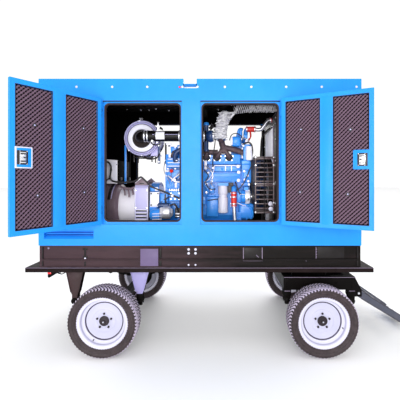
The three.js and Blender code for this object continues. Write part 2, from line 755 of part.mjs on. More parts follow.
function steeringFrame() {
  const { rear, front, side, rail, bottom, top } = STEERING;
  const xs = [FRONT_AXLE_X + rear, FRONT_AXLE_X + front];
  const ring = cut(
    box(xs, [-side, side], [bottom, top]),
    box([xs[0] + 80, xs[1] - 80], [-side + rail, side - rail], [bottom - 1, top + 1]),
  );
  const stringers = SIDES.map(({ hand }) => box([xs[0] + 79, xs[1] - 79],
    [hand * 170, hand * 230], [top - 70, top]));
  const eyes = [FRONT_SPRING.rear, FRONT_SPRING.front].map((x) => FRONT_AXLE_X + x);
  const hangers = SIDES.flatMap(({ hand }) => eyes.map((x) => hanger(
    x, hand, bottom + 5, 34, 440)));
  const { inner, outer, split } = TURNTABLE;
  const disc = [[inner, top - 5], [outer, top - 5], [outer, split - 1], [inner, split - 1],
    [inner, top - 5]];
  const lugs = SIDES.flatMap(({ hand }) => [[-38, -28], [28, 38]].map(([a, b]) => plate(
    'y', [hand * (DRAWBAR.y + a), hand * (DRAWBAR.y + b)], [
      [xs[1] - 60, top - 10], [xs[1] - 60, bottom + 10], [xs[1] - 10, DRAWBAR.z - 30],
      [DRAWBAR.x + 28, DRAWBAR.z - 30], [DRAWBAR.x + 28, DRAWBAR.z + 28],
      [xs[1] + 5, top - 10],
    ])));
  const pins = SIDES.map(({ hand }) => rod(
    [DRAWBAR.x, hand * (DRAWBAR.y - 34), DRAWBAR.z],
    [DRAWBAR.x, hand * (DRAWBAR.y + 34), DRAWBAR.z], 10, 8));
  return join(ring, ...stringers, ...hangers, ringAt(disc), ...lugs, ...pins);
}

/** The A-frame is drawn level, pivoting about y through its origin, and slopes to the ground. */
function drawbar() {
  const { y, tip, eye, tube } = DRAWBAR;
  const arms = SIDES.map(({ hand }) => {
    const bar = plate('z', [-tube, tube], [
      [0, hand * (y - 27)], [0, hand * (y + 27)], [44, hand * (y + 27)],
      [684, hand * 196], [664, hand * 140], [44, hand * (y - 27)],
    ]);
    const pivot = rod([0, hand * (y - 27), 0], [0, hand * (y + 27), 0], tube, 12);
    const bore = rod([0, hand * (y - 30), 0], [0, hand * (y + 30), 0], 11.5, 8);
    return cut(join(bar, pivot), bore);
  });
  const brace = box([330, 380], [-330, 330], [-22, 22]);
  const nose = plate('z', [-15, 15], [
    [620, -206], [620, 206], [684, 196], [tip - 70, 26], [tip - eye, 26],
    [tip - eye, -26], [tip - 70, -26], [684, -196],
  ]);
  const ring = rod([tip - eye, 0, -15], [tip - eye, 0, 15], eye, 16);
  const hole = rod([tip - eye, 0, -16], [tip - eye, 0, 16], 22, 12);
  return cut(join(...arms, brace, nose, ring), hole);
}

// ---------------------------------------------------------------- assembly

const generator = new THREE.Group();

const cap = piece('fuel_cap', fuelCap(), PAINT.black);
cap.position.set(FILLER.x, FILLER.y, FILLER.top);

const towbar = piece('drawbar', drawbar(), PAINT.black);
towbar.position.set(DRAWBAR.x, 0, DRAWBAR.z);
towbar.rotation.y = degrees(DRAWBAR.slopeDegrees);

generator.add(
  piece('trailer_frame', trailerFrame(), PAINT.black),
  piece('tail_light_bar', tailLightBar(), PAINT.black),
  piece('base_frame', baseFrame(), PAINT.black),
  piece('fuel_tank', fuelTank(), PAINT.black),
  cap,
  piece('canopy_front', canopyFront(), PAINT.blue),
  piece('canopy_rear', canopyRear(), PAINT.blue),
  piece('canopy_roof', canopyRoof(), PAINT.blue),
  piece('engine_block', engineBlock(), PAINT.engine),
  piece('valve_cover', valveCover(), PAINT.engine),
  piece('oil_sump', oilSump(), PAINT.engine),
  piece('crankshaft', crankshaft(), PAINT.steel),
  piece('cooling_fan', coolingFan(), PAINT.black),
  piece('charge_alternator', chargeAlternator(), PAINT.steel),
  piece('alternator_pulley', alternatorPulley(), PAINT.steel),
  piece('drive_belt', driveBelt(), PAINT.rubber),
  piece('fan_guard', fanGuard(), PAINT.black),
  piece('radiator', radiator(), PAINT.black),
  piece('exhaust_manifold', exhaustManifold(), PAINT.cast),
  piece('exhaust_pipe', exhaustPipe(), PAINT.wrap),
  piece('muffler', muffler(), PAINT.steel),
  piece('air_filter', airFilter(), PAINT.grey),
  piece('intake_pipe', intakePipe(), PAINT.rubber),
  piece('oil_filter', oilFilter(), PAINT.white),
  piece('starter_motor', starterMotor(), PAINT.steel),
  piece('coolant_hose_upper', coolantHoseUpper(), PAINT.red),
  piece('coolant_hose_lower', coolantHoseLower(), PAINT.red),
  piece('battery', battery(), PAINT.black),
  piece('generator_housing', generatorHousing(), PAINT.grey),
  piece('terminal_box', terminalBox(), PAINT.grey),
  piece('control_cabinet', controlCabinet(), PAINT.grey),
  piece('stop_button', stopButton(), PAINT.red),
  piece('key_switch', keySwitch(), PAINT.steel),
  piece('wiring_harness', wiringHarness(), PAINT.rubber),
  piece('steering_frame', steeringFrame(), PAINT.black),
  towbar,
  piece('rear_axle', axle(REAR_AXLE_X), PAINT.black),
  piece('front_axle', axle(FRONT_AXLE_X), PAINT.black),
);

for (const side of SIDES) {
  generator.add(piece(`canopy_${side.name}`, canopySide(side.hand), PAINT.blue));
  for (const bay of BAYS) generator.add(makeDoor(side, bay));
  generator.add(
    makeWheel(REAR_AXLE_X, 'rear', side),
    makeWheel(FRONT_AXLE_X, 'front', side),
    makeSpring(REAR_AXLE_X, REAR_SPRING, 'rear', side),
    makeSpring(FRONT_AXLE_X, FRONT_SPRING, 'front', side),
  );
}

generator.updateMatrixWorld(true);
const bounds = new THREE.Box3().setFromObject(generator, true);
const middle = bounds.getCenter(new THREE.Vector3());
generator.position.set(-middle.x, -middle.y, -bounds.min.z);

export default generator;
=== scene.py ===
"""The looks of the towable diesel generator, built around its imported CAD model.

Shapes are drawn in the CAD's own design frame, in millimetres: x along the trailer from the middle
of the canopy, y across it (the right-hand side is negative), z up from the ground.
"""

import math
import random

import bmesh
import bpy
from mathutils import Matrix, Vector


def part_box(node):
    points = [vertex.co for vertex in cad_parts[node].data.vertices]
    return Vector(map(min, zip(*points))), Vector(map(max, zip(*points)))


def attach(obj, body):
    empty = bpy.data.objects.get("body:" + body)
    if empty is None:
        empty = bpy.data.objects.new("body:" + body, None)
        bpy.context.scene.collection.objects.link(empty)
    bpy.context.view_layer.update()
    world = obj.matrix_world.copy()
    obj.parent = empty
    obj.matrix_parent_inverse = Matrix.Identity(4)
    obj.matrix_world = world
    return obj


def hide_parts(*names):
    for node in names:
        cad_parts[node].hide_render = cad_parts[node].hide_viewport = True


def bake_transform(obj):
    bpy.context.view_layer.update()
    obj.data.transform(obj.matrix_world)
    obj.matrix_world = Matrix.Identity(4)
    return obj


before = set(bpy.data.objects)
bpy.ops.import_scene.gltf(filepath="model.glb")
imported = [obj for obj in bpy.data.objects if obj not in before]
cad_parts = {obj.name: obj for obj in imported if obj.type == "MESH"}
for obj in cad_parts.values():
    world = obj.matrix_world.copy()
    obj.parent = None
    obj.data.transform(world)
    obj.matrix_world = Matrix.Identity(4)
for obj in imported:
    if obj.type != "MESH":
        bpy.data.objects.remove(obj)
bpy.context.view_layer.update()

_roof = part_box("canopy_roof")
MIDDLE_X = (_roof[0].x + _roof[1].x) / 2  # the canopy's middle, in the row frame
TO_ROW = Matrix.Translation((MIDDLE_X, 0, 0)) @ Matrix.Scale(0.001, 4)

SIDES = (("right", -1), ("left", 1))
BAYS = (  # name, doorway's two ends, hinge's x, direction from the hinge when closed, degrees open
    ("rear", -828, -172, -851, 1, 124),
    ("front", 17, 680, 697, -1, 153),
)
DOOR_Z = 1619
DOOR_PANELS = ((46, 330), (431, 694))  # foam panels, from and to a distance from the hinge
KNUCKLES = (-420, 0, 420)  # heights of a door's hinges from its middle
WALL_Y = 580  # outside of the canopy's side walls
WHEEL_R = 288
WHEEL_Y = 672
TURNTABLE_X = 1026
AXLES = (("rear", -790, -327, 250), ("front", TURNTABLE_X, -256, 317))  # x, and its spring eyes from it
HANGER_Y = 480  # middle of a leaf spring
EYE_Z = 390
CRANK_Z = 1187
FAN_Z = 1415
INTAKE = (-275, 1880)  # y and z of the intake pipe and of the turbocharger's shaft
CHARGER = (-280, 1300)  # y and z of the charging alternator
SHARP = 32  # degrees between faces, past which an edge stays sharp

AHEAD, BACK = (1, 0, 0), (-1, 0, 0)
LEFT, RIGHT = (0, 1, 0), (0, -1, 0)
UP, DOWN = (0, 0, 1), (0, 0, -1)


# ---------------------------------------------------------------- materials

def links_of(name):
    """A new material with its node tree and its shader."""
    mat = bpy.data.materials.new(name)
    mat.use_nodes = True
    tree = mat.node_tree
    return mat, tree, tree.nodes["Principled BSDF"]


def node(tree, kind, **values):
    """A node with its sockets or its own settings filled in by name."""
    made = tree.nodes.new(kind)
    for key, value in values.items():
        if key in made.inputs:
            made.inputs[key].default_value = value
        else:
            setattr(made, key, value)
    return made


def place_of(tree, scale=(1, 1, 1)):
    """Object coordinates in metres, stretched by scale."""
    coords = node(tree, "ShaderNodeTexCoord")
    mapping = node(tree, "ShaderNodeMapping", Scale=scale)
    tree.links.new(coords.outputs["Object"], mapping.inputs["Vector"])
    return mapping.outputs["Vector"]


def noise_of(tree, vector, scale, detail=3.0, roughness=0.55):
    made = node(tree, "ShaderNodeTexNoise", Scale=scale, Detail=detail, Roughness=roughness)
    tree.links.new(vector, made.inputs["Vector"])
    return made.outputs["Fac"]


def spread(tree, value, low, high, start=0.3, end=0.7):
    """Maps a value from start..end to low..high."""
    made = node(tree, "ShaderNodeMapRange")
    made.inputs["From Min"].default_value = start
    made.inputs["From Max"].default_value = end
    made.inputs["To Min"].default_value = low
    made.inputs["To Max"].default_value = high
    tree.links.new(value, made.inputs["Value"])
    return made.outputs["Result"]


def mix(tree, factor, first, second, blend="MIX"):
    """Blends two colours; each of the three may be a socket or a constant."""
    made = node(tree, "ShaderNodeMix", data_type="RGBA", blend_type=blend)
    for socket, value in ((made.inputs[0], factor), (made.inputs[6], first), (made.inputs[7], second)):
        if hasattr(value, "links"):
            tree.links.new(value, socket)
        elif isinstance(value, (int, float)):
            socket.default_value = value
        else:
            socket.default_value = (*value, 1)
    return made.outputs[2]


def bump(tree, shader, height, strength, distance=0.001):
    made = node(tree, "ShaderNodeBump", Strength=strength, Distance=distance)
    tree.links.new(height, made.inputs["Height"])
    tree.links.new(made.outputs["Normal"], shader.inputs["Normal"])


def shade(colour, factor):
    """A colour made darker or lighter."""
    return tuple(min(1.0, c * factor) for c in colour)


def paint(name, colour, rough=0.35, coat=0.4, dust=0.12, dust_colour=(0.5, 0.46, 0.5), peel=0.05,
          specular=0.5):
    """Sprayed paint: orange peel, a little unevenness, and dust that gathers in patches."""
    mat, tree, shader = links_of(name)
    at = place_of(tree)
    uneven = mix(tree, spread(tree, noise_of(tree, at, 3.0), 0, 1), shade(colour, 0.93), shade(colour, 1.05))
    dusty = spread(tree, noise_of(tree, at, 11.0, 6.0, 0.65), 0, dust, 0.45, 0.8)
    tree.links.new(mix(tree, dusty, uneven, dust_colour), shader.inputs["Base Color"])
    tree.links.new(spread(tree, noise_of(tree, at, 26.0, 4.0), rough - 0.07, rough + 0.1),
                   shader.inputs["Roughness"])
    bump(tree, shader, noise_of(tree, at, 420.0, 2.0), peel, 0.0006)
    shader.inputs["Coat Weight"].default_value = coat
    shader.inputs["Coat Roughness"].default_value = 0.12
    shader.inputs["Specular IOR Level"].default_value = specular
    return mat


def dust_and_sheen_paint(name, colour, dust_colour, sheen_x, plain_x):
    """Dark paint under streaky road dust, and a paler painted sheen that fades out from one x to the other,
    in metres; dust and sheen mix towards the same paler colour.
    """
    mat, tree, shader = links_of(name)
    at = place_of(tree)
    split = node(tree, "ShaderNodeSeparateXYZ")
    tree.links.new(at, split.inputs["Vector"])
    # painted sheen: the paint grows paler towards the first x, standing in for light on the frame
    far = spread(tree, split.outputs["X"], 1.0, 0.0, sheen_x, plain_x)
    streaks = spread(tree, noise_of(tree, place_of(tree, (1, 3, 9)), 3.0, 6.0, 0.6), -0.22, 0.18, 0.3, 0.7)
    amount = node(tree, "ShaderNodeMath", operation="ADD", use_clamp=True)
    tree.links.new(far, amount.inputs[0])
    tree.links.new(streaks, amount.inputs[1])
    tree.links.new(mix(tree, amount.outputs[0], colour, dust_colour), shader.inputs["Base Color"])
    tree.links.new(spread(tree, noise_of(tree, at, 30.0, 4.0), 0.4, 0.6), shader.inputs["Roughness"])
    bump(tree, shader, noise_of(tree, at, 300.0, 3.0), 0.08, 0.0006)
    shader.inputs["Specular IOR Level"].default_value = 0.14
    return mat


def metal(name, colour, rough=0.3, along=(1, 30, 30), metallic=1.0, stain=(0.35, 0.32, 0.33)):
    """Brushed or turned metal with fine lines along x and faint stains."""
    mat, tree, shader = links_of(name)
    at = place_of(tree)
    stained = spread(tree, noise_of(tree, at, 18.0, 5.0), 0, 0.4, 0.5, 0.85)
    tree.links.new(mix(tree, stained, colour, stain), shader.inputs["Base Color"])
    lines = noise_of(tree, place_of(tree, along), 40.0, 5.0, 0.7)
    tree.links.new(spread(tree, lines, rough - 0.1, rough + 0.12), shader.inputs["Roughness"])
    bump(tree, shader, lines, 0.12, 0.0006)
    shader.inputs["Metallic"].default_value = metallic
    return mat


def cast(name, colour, rust, rough=0.7):
    """Sand-cast iron: a coarse skin with rusty patches."""
    mat, tree, shader = links_of(name)
    at = place_of(tree)
    patches = spread(tree, noise_of(tree, at, 24.0, 6.0, 0.7), 0, 1, 0.45, 0.65)
    tree.links.new(mix(tree, patches, colour, rust), shader.inputs["Base Color"])
    tree.links.new(spread(tree, noise_of(tree, at, 60.0), rough - 0.15, rough + 0.1),
                   shader.inputs["Roughness"])
    bump(tree, shader, noise_of(tree, at, 300.0, 6.0, 0.7), 0.5, 0.0015)
    shader.inputs["Metallic"].default_value = 0.35
    return mat


def rubber(name, colour, rough=0.6, dust=0.35, dust_colour=(0.32, 0.27, 0.3), grain=500.0):
    """Rubber with a fine grain and dust in patches."""
    mat, tree, shader = links_of(name)
    at = place_of(tree)
    worn = spread(tree, noise_of(tree, at, 22.0, 6.0, 0.7), 0, dust, 0.4, 0.75)
    tree.links.new(mix(tree, worn, colour, dust_colour), shader.inputs["Base Color"])
    tree.links.new(spread(tree, noise_of(tree, at, 90.0), rough - 0.08, rough + 0.15),
                   shader.inputs["Roughness"])
    bump(tree, shader, noise_of(tree, at, grain, 3.0), 0.2, 0.0008)
    return mat


def plastic(name, colour, rough=0.4):
    """Moulded plastic, slightly uneven."""
    mat, tree, shader = links_of(name)
    at = place_of(tree)
    uneven = spread(tree, noise_of(tree, at, 30.0), 0, 1)
    tree.links.new(mix(tree, uneven, shade(colour, 0.9), shade(colour, 1.08)), shader.inputs["Base Color"])
    tree.links.new(spread(tree, noise_of(tree, at, 80.0), rough - 0.06, rough + 0.08),
                   shader.inputs["Roughness"])
    bump(tree, shader, noise_of(tree, at, 700.0, 2.0), 0.15, 0.0004)
    return mat


def glossy(name, colour):
    """A smooth deep black with little shine."""
    mat, tree, shader = links_of(name)
    tone = mix(tree, noise_of(tree, place_of(tree), 20.0), shade(colour, 0.7), shade(colour, 1.5))
    tree.links.new(tone, shader.inputs["Base Color"])
    shader.inputs["Roughness"].default_value = 0.35
    shader.inputs["Specular IOR Level"].default_value = 0.2
    return mat


def foam(name, low, high, sheen=0.15, specular=0.5):
    """Open-cell foam: fine pores, and the tips of its waves painted paler than the hollows, as painted
    highlight on the tips and painted shade in the hollows.
    """
    mat, tree, shader = links_of(name)
    at = place_of(tree)
    pores = node(tree, "ShaderNodeTexVoronoi", Scale=260.0)
    tree.links.new(at, pores.inputs["Vector"])
    # how far a point stands out, which is painted lighter as highlight
    height = node(tree, "ShaderNodeAttribute", attribute_name="tip")
    tone = mix(tree, spread(tree, height.outputs["Fac"], 0, 1, 0.5, 0.95), low, high)
    speckle = mix(tree, spread(tree, pores.outputs["Distance"], 0, 0.45, 0.1, 0.6), tone, shade(low, 0.6))
    tree.links.new(speckle, shader.inputs["Base Color"])
    bump(tree, shader, pores.outputs["Distance"], 0.5, 0.002)
    shader.inputs["Roughness"].default_value = 0.95
    shader.inputs["Sheen Weight"].default_value = sheen
    shader.inputs["Specular IOR Level"].default_value = specular
    return mat


def wrap_cloth(name, colour, shadow):
    """Crinkled silvery heat wrap."""
    mat, tree, shader = links_of(name)
    at = place_of(tree)
    weave = node(tree, "ShaderNodeTexWave", Scale=160.0, Distortion=1.5)
    tree.links.new(at, weave.inputs["Vector"])
    folds = noise_of(tree, at, 38.0, 6.0, 0.75)
    tree.links.new(mix(tree, spread(tree, folds, 0, 1, 0.35, 0.6), shadow, colour),
                   shader.inputs["Base Color"])
    both = mix(tree, 0.35, folds, weave.outputs["Fac"])
    bump(tree, shader, both, 0.8, 0.004)
    shader.inputs["Metallic"].default_value = 0.0
    shader.inputs["Roughness"].default_value = 0.45
    return mat


BLUE = paint("canopy paint", (0.01, 0.262, 0.8), 0.42, 0.08, 0.03, (0.2, 0.5, 0.9), 0.04, 0.2)
# a darker copy of the canopy paint for the blades inside the air inlets: painted shade of the recess
SHADED_RECESS_BLUE = paint("recess painted shade", (0.008, 0.13, 0.56), 0.42, 0.1, 0.05, (0.1, 0.3, 0.8), 0.05, 0.3)
# the base frame grows paler towards its rear as a painted sheen, over its dust streaks
BASE = dust_and_sheen_paint("base frame paint", (0.003, 0.0015, 0.001), (0.05, 0.027, 0.033), -1.0, 0.2)
CHASSIS = paint("chassis paint", (0.008, 0.0035, 0.0035), 0.5, 0.0, 0.14, (0.055, 0.035, 0.04), 0.05, 0.1)
CHASSIS_DARK = paint("running gear paint", (0.002, 0.0012, 0.001), 0.5, 0.0, 0.06, (0.04, 0.026, 0.03), 0.05,
                     0.08)
PLATE_GREY = paint("faded plate paint", (0.13, 0.095, 0.19), 0.5, 0.0, 0.5, (0.185, 0.14, 0.26), 0.05, 0.25)
HANGER_DARK = paint("rear hanger paint", (0.04, 0.02, 0.021), 0.5, 0.0, 0.3, (0.11, 0.07, 0.09), 0.1, 0.25)
HANGER_GREY = paint("hanger paint", (0.34, 0.31, 0.58), 0.5, 0.0, 0.2, (0.5, 0.48, 0.7), 0.05, 0.3)
DRAWBAR = paint("drawbar paint", (0.05, 0.055, 0.085), 0.4, 0.1, 0.3, (0.11, 0.09, 0.13), 0.06, 0.35)
ENGINE = paint("engine paint", (0.022, 0.25, 0.8), 0.32, 0.3, 0.12, (0.3, 0.55, 0.95), 0.22, 0.4)
GREY = paint("grey paint", (0.5, 0.475, 0.78), 0.4, 0.1, 0.12, (0.75, 0.74, 0.9), 0.1, 0.3)
PALE_GREY = paint("pale grey paint", (0.93, 0.9, 1.0), 0.4, 0.1, 0.12, (0.97, 0.96, 1.0), 0.1, 0.3)
WHITE = paint("white paint", (0.64, 0.63, 0.75), 0.34, 0.15, 0.08, (0.5, 0.48, 0.56), 0.05, 0.3)
STEEL = metal("bare steel", (0.72, 0.72, 0.78))
BRIGHT = metal("zinc plate", (0.85, 0.85, 0.9), 0.25, (8, 8, 8), 0.85)
TURNED = metal("turned steel", (0.62, 0.6, 0.64), 0.35, (30, 2, 2))
IRON = cast("cast iron", (0.08, 0.055, 0.06), (0.17, 0.1, 0.1))
RUBBER = rubber("black rubber", (0.012, 0.01, 0.012), 0.45, 0.12)
SEAL = rubber("door seal rubber", (0.015, 0.006, 0.006), 0.5, 0.2, (0.16, 0.09, 0.1))
TYRE = rubber("tyre rubber", (0.022, 0.012, 0.014), 0.6, 0.5, (0.08, 0.052, 0.062), 380.0)
# the lugs' tops paler, partly wear and partly painted highlight; the gaps and grooves near black as painted
# shade
LIT_TREAD = rubber("worn tread rubber with painted highlight", (0.5, 0.43, 0.55), 0.6, 0.5, (0.6, 0.5, 0.64), 380.0)
SHADED_GROOVE = rubber("tyre grooves in painted shade", (0.006, 0.004, 0.005), 0.8, 0.1, (0.03, 0.02, 0.025), 380.0)
RED_HOSE = rubber("red silicone", (0.62, 0.02, 0.012), 0.35, 0.15, (0.7, 0.12, 0.08))
BLACK = plastic("black plastic", (0.012, 0.01, 0.012), 0.4)
RED = plastic("red plastic", (0.75, 0.02, 0.01), 0.25)
LABEL = plastic("blank label", (0.85, 0.85, 0.92), 0.45)
# door foam: hollows near black as painted shade, tips paler as painted highlight
FOAM = foam("acoustic foam", (0.002, 0.001, 0.001), (0.205, 0.13, 0.185), 0.0, 0.08)
DARK_FOAM = foam("dark acoustic foam", (0.0015, 0.001, 0.001), (0.004, 0.003, 0.003), 0.0, 0.05)
WRAP = wrap_cloth("heat wrap", (0.98, 0.97, 1.0), (0.42, 0.4, 0.5))
LENS = plastic("red lens", (0.8, 0.02, 0.03), 0.15)
HUB = paint("hub paint", (0.012, 0.006, 0.009), 0.4, 0.1, 0.15, (0.16, 0.12, 0.15), 0.05, 0.35)
# darker copies of the rims' white paint for the groove round the disc, the disc and the flank: painted shade
RIM_GROOVE_SHADE = paint("rim groove painted shade", (0.05, 0.04, 0.075), 0.5, 0.0, 0.2, (0.2, 0.18, 0.26), 0.05, 0.2)
RIM_DISC_SHADE = paint("rim disc painted shade", (0.5, 0.495, 0.63), 0.4, 0.1, 0.1, (0.56, 0.55, 0.68), 0.05, 0.3)
RIM_SHADE = paint("rim flank painted shade", (0.42, 0.41, 0.56), 0.4, 0.1, 0.1, (0.5, 0.48, 0.6), 0.05, 0.3)
BLACK_PAINT = paint("black paint", (0.006, 0.004, 0.004), 0.45, 0.0, 0.08, (0.08, 0.06, 0.07), 0.05, 0.25)
# matt black; where it stands in for shade it is painted shade, as in the gaps of the exhaust wrap and on the
# terminal box's end
MATT_BLACK_AND_SHADE = paint("matt black and painted shade", (0.002, 0.0015, 0.0015), 0.8, 0.0, 0.05, (0.012, 0.009, 0.01), 0.02, 0.03)
MANIFOLD = cast("exhaust iron", (0.075, 0.05, 0.062), (0.13, 0.085, 0.09), 0.6)
ENGINE_DARK = paint("shaded engine paint", (0.006, 0.035, 0.14), 0.35, 0.2, 0.1, (0.05, 0.08, 0.18), 0.2)
CAST_SILVER = metal("cast aluminium", (0.8, 0.8, 0.88), 0.38, (12, 12, 12), 0.7, (0.4, 0.38, 0.44))
DARK_BROWN = foam("filter centre", (0.02, 0.012, 0.012), (0.075, 0.045, 0.042))
GLOSS_RUBBER = glossy("polished rubber", (0.003, 0.002, 0.002))
GEN_DARK = paint("shaded generator paint", (0.17, 0.115, 0.145), 0.42, 0.1, 0.45, (0.24, 0.18, 0.23), 0.2)
# white paint for pale parts; laid along edges and as thin lines it is painted highlight
WHITE_TRIM_AND_HIGHLIGHT = paint("white trim paint and painted highlight", (0.84, 0.83, 0.95), 0.3, 0.5, 0.1, (0.6, 0.58, 0.7))
HEAT_GREY = paint("heat-proof paint", (0.3, 0.29, 0.3), 0.55, 0.0, 0.3, (0.24, 0.18, 0.16), 0.2)
CAGE = paint("guard paint", (0.085, 0.052, 0.056), 0.4, 0.2, 0.2, (0.24, 0.19, 0.24), 0.05)
CORE = metal("radiator fins", (0.95, 0.94, 1.0), 0.6, (4, 60, 4), 0.0, (0.7, 0.68, 0.8))
CORE_DARK = paint("radiator depth", (0.9, 0.88, 0.98), 0.6, 0.0, 0.3, (0.2, 0.18, 0.26))
COPPER = metal("copper windings", (0.7, 0.28, 0.12), 0.35, (6, 6, 40), 1.0, (0.3, 0.1, 0.04))
SCREEN = plastic("display glass", (0.02, 0.05, 0.045), 0.08)
YELLOW = plastic("yellow ring", (0.85, 0.55, 0.02), 0.35)
# pale dusty paint; laid as thin strips along edges it is a painted highlight
DUST_AND_HIGHLIGHT_LINE = paint("dusty edge paint and painted highlight", (0.26, 0.21, 0.3), 0.55, 0.0, 0.5, (0.1, 0.07, 0.1), 0.05, 0.25)


# ---------------------------------------------------------------- mesh building

def turn_to(direction):
    """The rotation that takes +z to a direction."""
    return Vector(direction).to_track_quat("Z", "Y").to_matrix().to_4x4()


def facing(at, direction):
    """A matrix that stands a shape drawn up +z at a point, facing along a direction."""
    return Matrix.Translation(Vector(at)) @ turn_to(direction)


def smooth_line(points, steps):
    """A Catmull-Rom curve through the points, with that many steps between each two."""
    pts = [Vector(p) for p in points]
    pts = [pts[0] * 2 - pts[1], *pts, pts[-1] * 2 - pts[-2]]
    line = []
    for i in range(1, len(pts) - 2):
        p0, p1, p2, p3 = pts[i - 1:i + 3]
        for k in range(steps):
            t = k / steps
            line.append(0.5 * (2 * p1 + (p2 - p0) * t + (2 * p0 - 5 * p1 + 4 * p2 - p3) * t * t
                               + (3 * p1 - p0 - 3 * p2 + p3) * t ** 3))
    line.append(pts[-2])
    return line


class Part:
    """Collects solids into one mesh. Materials are numbered as in done()'s list."""

    def __init__(self, place=None, mirrored=False):
        self.bm = bmesh.new()
        self.place = place or Matrix.Identity(4)
        self.mirrored = mirrored

    def take(self, piece, mat=0, matrix=None):
        """Adds a bmesh piece, which is used up."""
        for face in piece.faces:
            face.material_index = mat
            face.smooth = True
        mesh = bpy.data.meshes.new("part")
        piece.to_mesh(mesh)
        piece.free()
        if matrix is not None:
            mesh.transform(matrix)
        self.bm.from_mesh(mesh)
        bpy.data.meshes.remove(mesh)
        return self

    def box(self, xs, ys, zs, bevel=1.5, mat=0, matrix=None, segments=2):
        """A box between two values on each axis, with rounded edges."""
        piece = bmesh.new()
        low = Vector((min(xs), min(ys), min(zs)))
        high = Vector((max(xs), max(ys), max(zs)))
        size = high - low
        bmesh.ops.create_cube(piece, size=1)
        piece.transform(Matrix.Translation((low + high) / 2) @ Matrix.Diagonal((*size, 1)))
        if bevel:
            bmesh.ops.bevel(piece, geom=list(piece.edges), offset=min(bevel, min(size) * 0.45),
                            segments=segments, affect="EDGES", profile=0.5)
        return self.take(piece, mat, matrix)

    def prism(self, axis, span, outline, bevel=1.5, mat=0, matrix=None):
        """An outline extruded along an axis: (y, z) along x, (x, z) along y, (x, y) along z."""
        lift = {"x": lambda a, b, c: (c, a, b), "y": lambda a, b, c: (a, c, b),
                "z": lambda a, b, c: (a, b, c)}[axis]
        piece = bmesh.new()
        ends = []
        for c in span:
            ends.append([piece.verts.new(lift(a, b, c)) for a, b in outline])
        piece.faces.new(ends[0])
        piece.faces.new(list(reversed(ends[1])))
        count = len(outline)
        for i in range(count):
            j = (i + 1) % count
            piece.faces.new((ends[0][j], ends[0][i], ends[1][i], ends[1][j]))
        bmesh.ops.recalc_face_normals(piece, faces=piece.faces)
        if bevel:
            sharp = [e for e in piece.edges if len(e.link_faces) == 2 and e.calc_face_angle() > 0.6]
            bmesh.ops.bevel(piece, geom=sharp, offset=bevel, segments=2, affect="EDGES", profile=0.5,
                            clamp_overlap=True)
        return self.take(piece, mat, matrix)

    def lathe(self, profile, sides=32, mat=0, matrix=None, closed=False, wave=None):
        """Revolves (radius, height) points about z. wave(angle, radius, height) may move a point."""
        piece = bmesh.new()
        rings = []
        for radius, height in profile:
            if radius < 1e-6:
                rings.append([piece.verts.new((0, 0, height))])
                continue
            ring = []
            for k in range(sides):
                angle = 2 * math.pi * k / sides
                r, h = wave(angle, radius, height) if wave else (radius, height)
                ring.append(piece.verts.new((r * math.cos(angle), r * math.sin(angle), h)))
            rings.append(ring)
        pairs = list(zip(rings, rings[1:] + rings[:1])) if closed else list(zip(rings, rings[1:]))
        for a, b in pairs:
            for k in range(sides):
                n = (k + 1) % sides
                corners = [a[k % len(a)], a[n % len(a)], b[n % len(b)], b[k % len(b)]]
                unique = list(dict.fromkeys(corners))
                if len(unique) > 2:
                    piece.faces.new(unique)
        if not closed:
            for ring in (rings[0], rings[-1]):
                if len(ring) > 1:
                    piece.faces.new(ring)
        bmesh.ops.recalc_face_normals(piece, faces=piece.faces)
        return self.take(piece, mat, matrix)

    def rod(self, start, end, radius, sides=24, chamfer=1.5, mat=0):
        """A round bar with chamfered ends."""
        start, end = Vector(start), Vector(end)
        length = (end - start).length
        c = min(chamfer, radius * 0.4, length * 0.3)
        profile = [(0, 0), (radius - c, 0), (radius, c), (radius, length - c), (radius - c, length),
                   (0, length)]
        return self.lathe(profile, sides, mat, facing(start, end - start))

    def turned(self, start, end, profile, sides=32, mat=0, wave=None):
        """A lathe whose heights run from start (0) to end (1)."""
        start, end = Vector(start), Vector(end)
        length = (end - start).length
        scaled = [(r, h * length) for r, h in profile]
        return self.lathe(scaled, sides, mat, facing(start, end - start), wave=wave)

    def tube(self, points, radius, sides=12, steps=8, mat=0, ripple=None):
        """A pipe along a smooth curve. ripple(step, count, angle) scales the radius."""
        line = smooth_line(points, steps) if steps else [Vector(p) for p in points]
        count = len(line)
        piece = bmesh.new()
        tangent = (line[1] - line[0]).normalized()
        side = tangent.orthogonal().normalized()
        rings = []
        for i, p in enumerate(line):
            new = (line[min(i + 1, count - 1)] - line[max(i - 1, 0)]).normalized()
            side = (side - new * side.dot(new)).normalized()
            other = new.cross(side)
            ring = []
            for k in range(sides):
                angle = 2 * math.pi * k / sides
                r = radius * (ripple(i, count, angle) if ripple else 1)
                ring.append(piece.verts.new(p + (side * math.cos(angle) + other * math.sin(angle)) * r))
            rings.append(ring)
        for a, b in zip(rings, rings[1:]):
            for k in range(sides):
                n = (k + 1) % sides
                piece.faces.new((a[k], a[n], b[n], b[k]))
        piece.faces.new(list(reversed(rings[0])))
        piece.faces.new(rings[-1])
        bmesh.ops.recalc_face_normals(piece, faces=piece.faces)
        return self.take(piece, mat)

    def bolt(self, at, normal, size=10, mat=0, washer=True):
        """A hexagon head on a washer, standing out along a normal."""
        matrix = facing(at, normal)
        if washer:
            self.lathe([(0, -0.5), (size * 1.15, -0.5), (size * 1.15, size * 0.15), (0, size * 0.15)],
                       20, mat, matrix)
        self.lathe([(0, 0), (size, 0), (size, size * 0.7), (size * 0.8, size * 0.85), (0, size * 0.85)],
                   6, mat, matrix)
        return self

